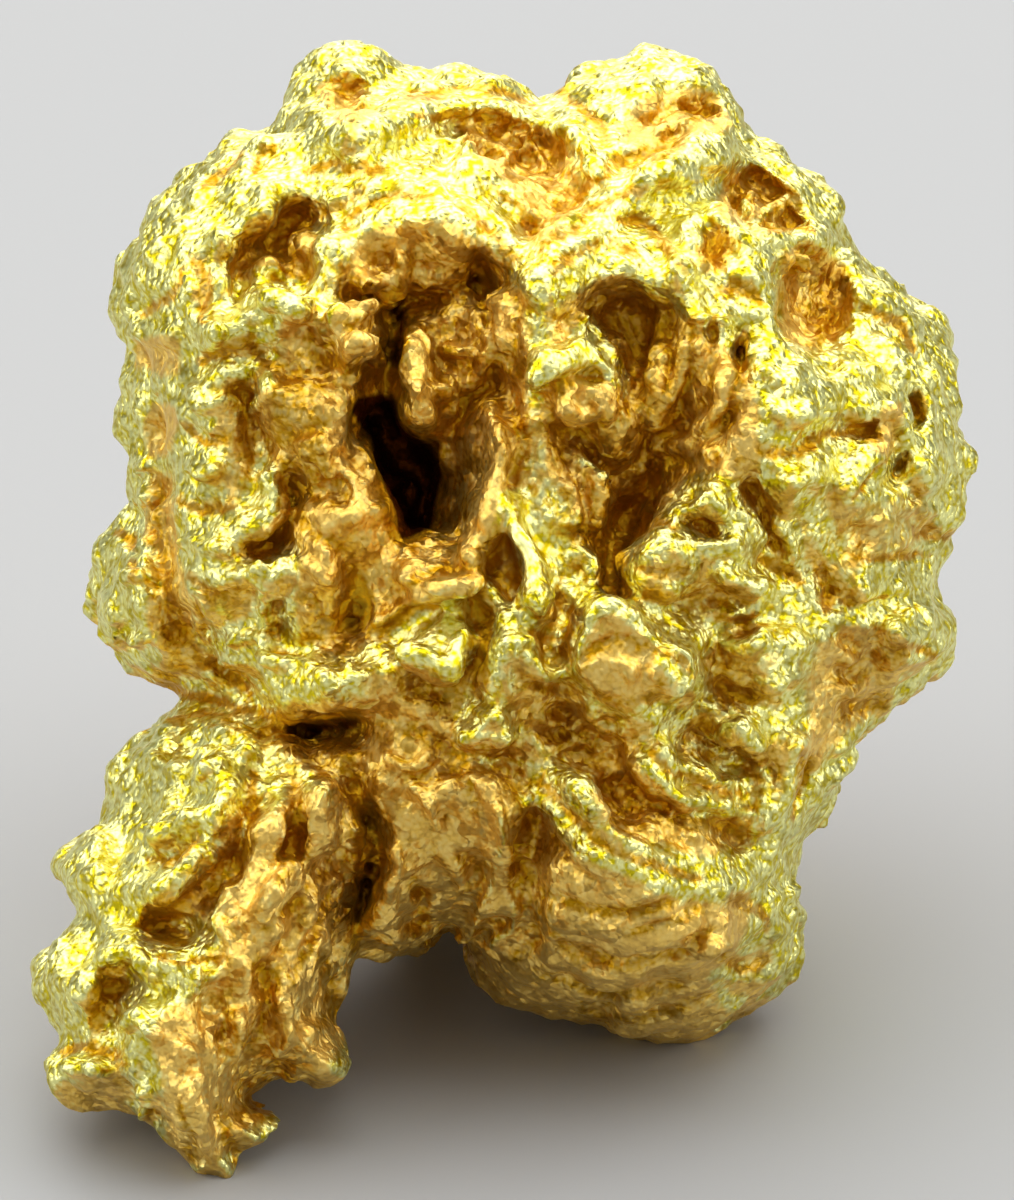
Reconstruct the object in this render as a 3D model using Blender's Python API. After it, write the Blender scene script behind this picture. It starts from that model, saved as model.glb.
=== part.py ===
# A natural gold nugget: one solid piece of metal, with folds, lips, lumps and hollows grown together.
#
# It is shaped face-on first. X runs to the right, Z up and -Y towards the viewer, in millimetres.
# The outline gives its edge, and two depth fields give its front and its back. The nugget then leans
# back, its underside is lifted clear of the table except at its feet, and the feet are cut flat.

import math
import random

import bmesh
import bpy
import numpy as np
from mathutils import Matrix, Vector, noise

MM = 0.001

LEAN_DEG = 25.0  # how far the face leans back where the nugget rests
GROUND_SHIFT = 2.0  # depth at which the table passes under the face's zero height
FRONT_DEPTH = 6.0  # from the middle of the edge to the front of the body
BACK_DEPTH = 5.4
EDGE_ROUND = 6.0  # how far in from the outline the body reaches its full depth
RELIEF_RIM = 0.7  # how far in from the outline the reliefs reach their full height
SLAB_HALF = 1.0  # half the thickness of the slab that the body is drawn from

LEG_TOP = 5.5  # the leg starts to come forward below this height
LEG_SIDE = -1.2  # the leg lies to the left of this
LEG_BLEND = 2.2  # width over which the leg and the body ease into each other
LEG_FORWARD = 0.56  # forward for each millimetre down
LEG_LENGTH = 8.5
LEG_TAPER = 0.55  # how much of the front's fullness the leg loses at its tip

RELIEF_OUT = 1.7  # forms that pile up stop rising near this height
RELIEF_IN = 4.5  # and hollows near this depth
FORM_FOOT = (1.45, 0.3)  # where a lump's slope ends, in half widths: when soft, and how much less when firm
FOLD_STRENGTH = 1.5
FOLD_SLOPE = 1.4  # how far a fold's slope reaches, in its own widths
FOLD_ROUND = 0.9  # under 1 a fold is a rounded roll, and over 1 it eases into what lies beside it
FOLD_FADE = 0.16  # share of its length over which a fold sinks at each end
FOLD_END = 0.35  # how much of the fold is left at its ends

DRIFT = ((0.7, 0.12, 3.0), (2.6, 0.1, 8.0))  # wandering of the forms: size, amount and seed
SWELLINGS = ((2.6, 1.0, 4.0), (1.2, 0.6, 9.0))  # swellings of the skin: size, share and seed
SWELL_LEVEL = 0.15  # taken off, so that the swellings leave the outline where it is
SWELL_SIDE = 0.32  # their height at the sides
SWELL_FRONT = -0.26  # how much that changes on the front
SWELL_BACK = 0.35  # and on the back
GROWTH_OCTAVES = ((1.0, 1.0), (2.1, 0.5), (4.3, 0.22))  # how much finer, and how strong
NOISE_PLACES = (Vector((9.3, -1.5, -7.9)), Vector((-5.1, 6.7, 3.2)), Vector((2.8, -8.4, 4.6)))
PIT_COUNT = 26
PIT_SEED = 5

OUTLINE_STEP = 0.35
SHAPE_VOXEL = 0.14
SMOOTHING = 0.5  # takes the remesh's steps off
FINEST = 0.34  # no slope of a form is drawn narrower than this
SOLID_TRIANGLES = 9600
GOLD_COLOUR = (0.86, 0.60, 0.13, 1.0)
GOLD_ROUGHNESS = 0.32

# The outline, clockwise from the top left crest.
OUTLINE = [
    (-4.0, 18.5), (-3.0, 19.05), (-1.9, 18.6), (-1.2, 18.55), (0.0, 18.5), (0.85, 18.1),
    (1.4, 18.5), (2.4, 18.8), (3.5, 18.8), (4.3, 18.6), (4.9, 17.8), (5.0, 17.3), (6.0, 16.6),
    (6.6, 15.9), (6.9, 15.1), (7.4, 14.6), (8.5, 13.7), (8.9, 12.8), (9.3, 11.4), (9.35, 10.6),
    (9.2, 9.7), (8.8, 8.7), (8.55, 7.95), (8.85, 7.5), (8.75, 6.8), (8.1, 6.2), (7.5, 5.6),
    (7.0, 4.9), (6.6, 3.8), (5.9, 2.6), (6.05, 1.6), (5.6, 0.45), (4.9, -0.2), (4.1, -0.68),
    (3.2, -0.75), (2.4, -0.87), (1.6, -0.5), (0.5, -0.1), (-0.3, 0.3), (-0.9, 1.3), (-1.6, 1.2),
    (-2.3, 1.0), (-2.85, 1.0), (-3.15, 0.1), (-3.25, -0.5), (-2.95, -1.2), (-3.4, -1.6),
    (-4.5, -1.45), (-4.95, -2.0), (-4.5, -2.45), (-4.6, -2.85), (-5.1, -2.95), (-5.3, -3.5),
    (-5.9, -3.45), (-6.5, -2.85), (-7.2, -2.4), (-8.1, -2.0), (-8.85, -1.3), (-8.65, -0.85),
    (-9.1, 0.0), (-9.15, 0.8), (-8.4, 1.55), (-8.9, 2.5), (-8.5, 3.2), (-7.9, 3.7), (-7.8, 4.5),
    (-7.2, 5.15), (-6.8, 5.5), (-6.3, 6.1), (-7.0, 6.2), (-7.6, 6.95), (-8.05, 8.0),
    (-7.9, 9.0), (-7.4, 9.8), (-7.4, 11.1), (-7.45, 11.8), (-7.35, 12.5), (-7.75, 14.3),
    (-7.3, 15.3), (-6.5, 16.3), (-5.7, 17.05), (-4.6, 17.6),
]

# How far back or forward the edge itself lies: a place, its reach and its shift in depth.
EDGE_SHIFTS = [
    ((3.2, 18.6), 3.0, 1.6),
    ((-2.0, 18.8), 3.0, 1.0),
    ((8.8, 12.5), 3.5, 1.1),
    ((8.7, 7.0), 2.0, -0.6),
    ((-7.8, 8.0), 2.2, 0.9),
    ((-7.2, 14.0), 2.5, -0.6),
    ((3.0, -0.6), 2.5, -0.2),
]

# Hollows of the front: a closed line, a depth and the width of the wall inside the line.
HOLLOWS = {
    "top pocket": (
        [(-3.85, 18.15), (-3.1, 18.6), (-2.6, 18.3), (-2.2, 17.75), (-2.3, 17.45), (-3.1, 17.3),
         (-3.5, 17.6)],
        0.8, 0.45,
    ),
    "upper hollow": (
        [(-1.9, 17.35), (-1.0, 17.4), (-0.1, 17.55), (0.7, 17.4), (1.3, 16.95), (1.35, 16.3),
         (1.0, 15.95), (0.5, 16.1), (-0.1, 16.45), (-0.7, 16.9), (-1.3, 17.1)],
        1.0, 0.5,
    ),
    "gold valley": (
        [(-0.5, 16.35), (0.2, 15.95), (0.7, 15.5), (1.3, 15.7), (1.15, 15.1), (0.9, 14.3), (0.65, 14.3),
         (0.5, 14.9), (0.1, 15.5), (-0.4, 15.95)],
        0.8, 0.45,
    ),
    "left hollow": (
        [(-5.45, 14.5), (-5.2, 15.1), (-4.7, 15.6), (-4.3, 16.0), (-3.75, 16.0), (-3.45, 15.3),
         (-3.6, 14.6), (-3.7, 13.95), (-4.4, 13.95), (-5.1, 13.7), (-5.5, 13.5)],
        1.3, 0.8,
    ),
    "arch hollow": (
        [(-2.7, 14.0), (-1.9, 14.4), (-0.9, 14.3), (-0.1, 13.9), (0.0, 12.9), (-0.2, 11.5),
         (-0.4, 10.0), (-0.9, 9.0), (-2.0, 9.0), (-2.4, 10.0), (-2.8, 11.4), (-2.9, 12.6)],
        0.8, 0.8,
    ),
    "dark cavity": (
        [(-3.0, 11.95), (-2.4, 12.3), (-2.0, 12.0), (-1.8, 11.45), (-1.35, 11.1), (-1.1, 10.5),
         (-1.15, 9.9), (-1.3, 9.3), (-2.0, 9.1), (-2.3, 9.6), (-2.5, 10.2), (-2.7, 11.0), (-3.0, 11.5)],
        2.6, 0.5,
    ),
    "right hollow": (
        [(1.95, 13.9), (2.5, 14.1), (3.1, 13.95), (3.2, 13.0), (3.05, 12.1), (2.7, 11.6), (2.55, 12.3),
         (2.3, 12.9)],
        0.7, 0.4,
    ),
    "small right hollow": (
        [(3.7, 14.3), (4.1, 14.25), (4.6, 14.6), (4.6, 15.25), (4.15, 15.35), (3.75, 14.9)],
        0.7, 0.4,
    ),
    "top right bowl": (
        [(2.75, 17.9), (3.4, 18.2), (4.1, 18.3), (4.6, 17.8), (4.7, 17.2), (4.1, 17.1), (3.4, 17.0),
         (2.8, 17.2)],
        0.7, 0.6,
    ),
    "top right pocket": ([(4.0, 18.2), (4.5, 18.2), (4.8, 17.7), (4.4, 17.35), (4.1, 17.6)], 0.6, 0.25),
    "ring bowl": (
        [(4.2, 16.0), (4.5, 16.65), (5.1, 16.8), (5.7, 16.45), (6.15, 15.9), (6.2, 15.35), (5.4, 15.3),
         (4.7, 15.3), (4.35, 15.6)],
        1.2, 0.4,
    ),
    "right pocket": (
        [(5.35, 13.3), (5.4, 14.2), (5.3, 14.9), (5.9, 15.1), (6.6, 15.15), (7.0, 14.7), (7.25, 14.2),
         (7.0, 13.8), (6.85, 13.2), (6.4, 12.9), (5.8, 12.9)],
        1.1, 0.4,
    ),
    "pocket crescent": ([(6.3, 14.3), (6.6, 13.9), (6.5, 13.3), (6.1, 12.95), (6.2, 13.5)], 0.9, 0.25),
    "side slit": (
        [(7.85, 10.6), (8.1, 11.6), (8.4, 12.1), (8.55, 11.5), (8.3, 10.8), (8.1, 10.3)],
        1.2, 0.3,
    ),
    "petal bowl": (
        [(0.25, 5.9), (0.7, 6.2), (1.3, 6.2), (1.9, 5.7), (2.5, 5.4), (2.7, 4.9), (2.2, 4.6),
         (1.4, 4.7), (0.8, 5.1)],
        0.5, 0.6,
    ),
    "fold hollow": (
        [(3.4, 5.5), (4.0, 5.75), (4.7, 5.45), (5.2, 4.8), (4.7, 4.45), (3.9, 4.6), (3.4, 4.95)],
        0.7, 0.45,
    ),
    "smile hollow": (
        [(1.9, 4.2), (2.5, 4.6), (3.1, 4.15), (3.9, 3.75), (4.8, 3.7), (5.1, 3.2), (4.3, 2.85),
         (3.5, 2.95), (2.7, 3.2), (2.1, 3.6)],
        0.6, 0.4,
    ),
    "dark pocket": (
        [(-4.3, 5.3), (-3.7, 5.75), (-2.9, 5.85), (-2.45, 5.5), (-2.8, 5.05), (-3.6, 4.95)],
        1.2, 0.4,
    ),
    "left yellow hollow": (
        [(-7.2, 11.3), (-6.9, 12.1), (-6.4, 12.0), (-6.35, 11.2), (-6.8, 10.9)],
        0.7, 0.35,
    ),
    "leg recess": (
        [(-7.8, 2.3), (-7.9, 3.3), (-7.7, 4.3), (-7.2, 4.8), (-7.0, 4.0), (-7.15, 2.9), (-7.3, 2.2)],
        0.8, 0.4,
    ),
    "leg pocket": (
        [(-7.1, 1.5), (-6.6, 1.8), (-6.1, 1.6), (-5.9, 1.1), (-6.5, 1.0), (-7.0, 1.1)],
        0.9, 0.3,
    ),
    "lower slot": (
        [(5.75, 3.6), (5.8, 4.4), (6.0, 5.0), (6.25, 4.8), (6.15, 4.0), (6.0, 3.5)],
        0.6, 0.2,
    ),
    "left shelter": (
        [(-4.3, 12.9), (-3.3, 13.3), (-2.8, 12.0), (-2.6, 10.5), (-2.6, 9.0), (-2.6, 7.4), (-3.2, 6.9),
         (-4.2, 7.4), (-4.6, 9.0), (-4.8, 11.0)],
        0.8, 1.0,
    ),
    "arch recess": (
        [(-3.1, 13.4), (-3.1, 14.6), (-2.9, 15.2), (-2.3, 15.5), (-1.7, 15.6), (-1.0, 15.5),
         (-0.5, 15.2), (0.0, 14.9), (0.4, 14.3), (0.65, 13.6), (0.6, 12.4), (0.5, 11.0), (0.2, 9.6),
         (-0.1, 8.4), (-1.2, 8.3), (-2.1, 8.6), (-2.5, 9.9), (-2.85, 11.2), (-3.0, 12.2)],
        1.9, 1.8,
    ),
    "brow recess": (
        [(1.0, 13.0), (1.1, 13.9), (1.5, 14.2), (2.3, 14.35), (3.0, 14.1), (3.6, 13.7), (4.3, 13.4),
         (4.9, 13.3), (5.15, 12.8), (5.2, 11.5), (5.1, 10.3), (4.4, 10.3), (3.6, 9.8), (3.0, 9.0),
         (2.4, 8.2), (1.6, 8.1), (1.0, 8.6), (0.8, 9.6), (0.8, 10.8), (0.9, 12.0)],
        1.7, 1.6,
    ),
}

# Flat faces of the front: a closed line, the rise at its middle, the width of its edge, and its tilts.
# The tilts are the rise per millimetre to the right and up, so a face with a second tilt below 0
# looks up, and one above 0 looks down.
FACETS = {
    "arch olive face": (
        [(-3.0, 14.2), (-2.95, 14.9), (-2.5, 15.4), (-2.15, 15.35), (-2.05, 14.9), (-1.9, 14.3),
         (-2.4, 14.0)],
        0.5, 0.25, (0.15, 0.45),
    ),
    "arch brown face": (
        [(-2.0, 15.1), (-1.6, 15.5), (-0.9, 15.4), (-0.5, 14.95), (-0.8, 14.3), (-1.5, 14.0),
         (-1.85, 14.3)],
        0.6, 0.3, (-0.1, 0.6),
    ),
    "arch right face": (
        [(-1.5, 13.8), (-0.9, 14.0), (-0.15, 13.6), (-0.05, 12.8), (-0.4, 12.1), (-1.2, 12.0),
         (-1.5, 12.8)],
        1.0, 0.25, (0.2, 0.1),
    ),
    "arch orange face": (
        [(-0.1, 14.0), (0.3, 14.1), (0.6, 13.5), (0.6, 12.6), (0.1, 12.3), (-0.1, 12.9)],
        0.6, 0.25, (0.6, 0.1),
    ),
    "arch left jaw": (
        [(-3.5, 13.8), (-3.0, 14.0), (-2.4, 13.7), (-2.2, 13.1), (-2.6, 12.6), (-3.1, 12.8),
         (-3.6, 13.2)],
        0.9, 0.3, (0.0, 0.5),
    ),
    "arch stalk": (
        [(-2.0, 13.6), (-1.5, 13.7), (-1.3, 12.8), (-1.1, 11.9), (-1.2, 11.25), (-1.7, 11.2),
         (-2.0, 11.7), (-2.05, 12.6)],
        1.3, 0.25, (-0.2, 0.1),
    ),
    "smooth slope": (
        [(-1.3, 11.2), (-0.9, 11.8), (-0.1, 12.0), (0.3, 11.2), (0.15, 10.2), (0.0, 9.2), (-0.5, 8.6),
         (-0.95, 9.2), (-1.15, 10.1)],
        0.7, 0.4, (0.7, 0.0),
    ),
    "ramp": (
        [(-2.2, 8.4), (-1.8, 9.1), (-1.2, 9.5), (-0.5, 9.2), (-0.2, 8.5), (-0.6, 8.0), (-1.4, 8.0)],
        0.9, 0.35, (0.1, -0.6),
    ),
    "cavity stone": (
        [(-2.55, 9.7), (-2.4, 10.2), (-1.9, 10.35), (-1.65, 9.9), (-2.0, 9.5)],
        1.2, 0.25, (0.0, -0.5),
    ),
    "white facet": (
        [(-1.95, 7.0), (-1.4, 7.5), (-1.05, 7.9), (-0.65, 8.05), (-0.5, 7.4), (-0.65, 6.8), (-1.05, 6.5)],
        1.3, 0.14, (-0.2, -0.9),
    ),
    "blade": (
        [(-0.05, 10.1), (0.45, 10.0), (0.65, 9.5), (0.85, 8.9), (1.0, 8.2), (0.9, 7.7), (0.7, 7.7),
         (0.45, 8.7), (0.2, 9.4)],
        1.2, 0.15, (-0.5, -0.1),
    ),
    "tooth": (
        [(0.55, 12.2), (0.8, 12.9), (1.3, 13.15), (1.75, 13.6), (2.1, 13.0), (2.5, 12.2), (1.9, 12.4),
         (1.2, 12.3)],
        2.3, 0.3, (0.0, -0.9),
    ),
    "tooth root": (
        [(1.0, 12.35), (1.9, 12.45), (2.35, 12.2), (2.3, 11.5), (1.7, 11.1), (1.1, 11.4)],
        1.9, 0.3, (0.0, 0.7),
    ),
    "tooth cone": (
        [(2.2, 11.9), (2.7, 11.5), (2.6, 10.9), (2.3, 10.4), (1.9, 11.0)],
        1.0, 0.3, (-0.3, 0.4),
    ),
    "curtain face": (
        [(3.3, 12.9), (3.9, 13.2), (4.6, 12.8), (4.9, 11.9), (4.3, 11.2), (3.7, 10.9), (3.4, 11.6)],
        0.6, 0.3, (0.3, 0.4),
    ),
    "lower mass": (
        [(3.4, 10.9), (4.2, 11.2), (5.0, 11.4), (5.1, 10.5), (4.5, 10.2), (3.7, 9.9), (3.1, 10.1)],
        0.7, 0.3, (0.1, 0.3),
    ),
    "disc": (
        [(1.45, 6.6), (1.55, 7.3), (2.0, 7.75), (2.6, 7.75), (3.15, 7.4), (3.4, 6.8), (3.2, 6.1),
         (2.6, 5.75), (1.9, 5.95)],
        1.7, 0.25, (-0.1, 0.25),
    ),
    "disc side": ([(3.2, 7.2), (3.9, 7.1), (4.0, 6.5), (3.6, 6.0), (3.2, 6.1)], 1.0, 0.25, (0.0, 0.3)),
    "petal face": (
        [(0.0, 7.3), (0.5, 7.5), (0.9, 7.2), (1.35, 6.5), (1.1, 5.9), (0.5, 5.6), (0.1, 6.3)],
        0.9, 0.25, (-0.2, 0.2),
    ),
    "lobe face": (
        [(0.9, 3.2), (1.9, 2.6), (3.0, 2.3), (4.2, 2.0), (4.6, 1.2), (3.8, 0.5), (2.6, 0.0), (1.2, 0.3),
         (0.6, 1.5)],
        0.8, 0.6, (0.0, 0.5),
    ),
    "shin face": (
        [(-5.3, 2.4), (-4.4, 3.0), (-3.4, 2.4), (-3.3, 1.0), (-3.4, -0.3), (-4.4, -1.2), (-5.4, -0.6),
         (-5.6, 1.0)],
        0.6, 0.5, (0.2, 0.35),
    ),
    "left shin face": (
        [(-7.4, -0.2), (-6.0, 0.3), (-5.5, -0.6), (-5.4, -2.0), (-6.2, -2.9), (-7.2, -2.0)],
        0.5, 0.4, (-0.2, 0.35),
    ),
    "middle face": (
        [(-2.2, 3.6), (-1.2, 4.6), (0.0, 4.6), (0.5, 3.6), (0.3, 2.4), (-0.4, 1.4), (-1.6, 1.3),
         (-2.3, 2.2)],
        0.5, 0.5, (0.0, 0.35),
    ),
}

# Lumps of the front: a place, two half widths, a turn in degrees, a rise and a firmness.
# A low firmness gives a soft swelling, and a high one a form with a clear edge.
FRONT_FORMS = {
    "left shoulder": ((-4.3, 16.5), (2.1, 0.9), 22, 0.7, 0.4),
    "left brow": ((-6.3, 14.6), (1.1, 1.5), 20, 0.5, 0.4),
    "arch column": ((-1.65, 12.75), (0.25, 0.9), -8, 1.3, 0.8),
    "arch left lump": ((-2.85, 12.85), (0.4, 0.4), 0, 1.3, 0.8),
    "hanging lump": ((-1.4, 11.85), (0.5, 0.5), 0, 1.5, 0.8),
    "ramp stone": ((-0.1, 8.0), (0.3, 0.35), 0, 0.5, 0.8),
    "pocket stone": ((5.45, 14.7), (0.35, 0.25), 0, 0.7, 0.8),
    "brow cheek": ((4.5, 11.9), (0.8, 1.3), 0, 0.6, 0.4),
    "right cheek": ((7.0, 11.6), (1.4, 1.6), 0, 0.5, 0.3),
    "slit plate": ((7.75, 11.3), (0.4, 0.7), -10, 0.6, 0.8),
    "side knob": ((8.25, 7.2), (0.6, 0.75), 0, 0.9, 0.6),
    "rough flank": ((7.1, 6.4), (1.0, 1.0), 30, -0.7, 0.4),
    "bright cluster": ((5.4, 6.8), (0.85, 0.6), 20, 0.8, 0.5),
    "disc side": ((3.5, 6.7), (0.5, 0.6), -20, 1.3, 0.7),
    "lens mass": ((3.2, 8.9), (0.7, 0.8), -20, 1.1, 0.7),
    "rough mass": ((1.6, 9.6), (0.75, 1.3), 8, 0.6, 0.5),
    "lower lobe": ((3.1, 2.6), (2.8, 1.4), 0, 0.9, 0.3),
    "middle mass": ((-1.2, 3.3), (1.5, 2.2), 0, 0.8, 0.4),
    "bright patch": ((-0.15, 5.4), (0.6, 0.45), 15, 0.8, 0.7),
    "inner column": ((-3.75, 11.8), (0.85, 1.1), 10, 0.9, 0.5),
    "column bump": ((-3.5, 10.9), (0.5, 0.4), 0, 0.5, 0.7),
    "column face": ((-3.5, 9.4), (0.5, 0.5), 20, 0.6, 0.8),
    "column foot": ((-3.6, 8.1), (0.5, 1.0), -5, 1.0, 0.7),
    "neck lump a": ((-3.5, 6.25), (0.4, 0.3), 0, 0.5, 0.7),
    "neck lump b": ((-2.2, 6.6), (0.6, 0.5), -20, 0.6, 0.6),
    "left knob": ((-7.35, 7.8), (0.75, 1.6), 0, 0.7, 0.5),
    "left bump": ((-7.1, 12.4), (0.55, 0.45), 0, 0.5, 0.5),
    "leg lobe a": ((-5.35, 4.15), (0.55, 0.75), -15, 1.0, 0.7),
    "leg lobe b": ((-4.5, 3.5), (0.42, 0.9), -25, 0.9, 0.7),
    "leg lobe c": ((-3.6, 3.6), (0.42, 0.9), -15, 1.0, 0.7),
    "leg left lobe": ((-8.5, 0.3), (0.6, 1.0), 0, 0.9, 0.6),
    "leg low lobe": ((-8.2, -1.5), (0.8, 0.6), 20, 0.9, 0.6),
    "leg shin": ((-5.6, -1.0), (1.7, 2.0), 0, 0.7, 0.3),
    "leg heel knob": ((-3.5, -1.0), (0.55, 0.6), 0, 0.8, 0.7),
    "leg nub": ((-4.75, -2.6), (0.35, 0.3), 0, 0.4, 0.6),
    "pocket bead": ((-3.3, 5.0), (0.35, 0.25), 0, 0.9, 0.7),
    "corner bump": ((5.6, 1.7), (0.45, 0.4), 0, 0.5, 0.6),
}

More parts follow.
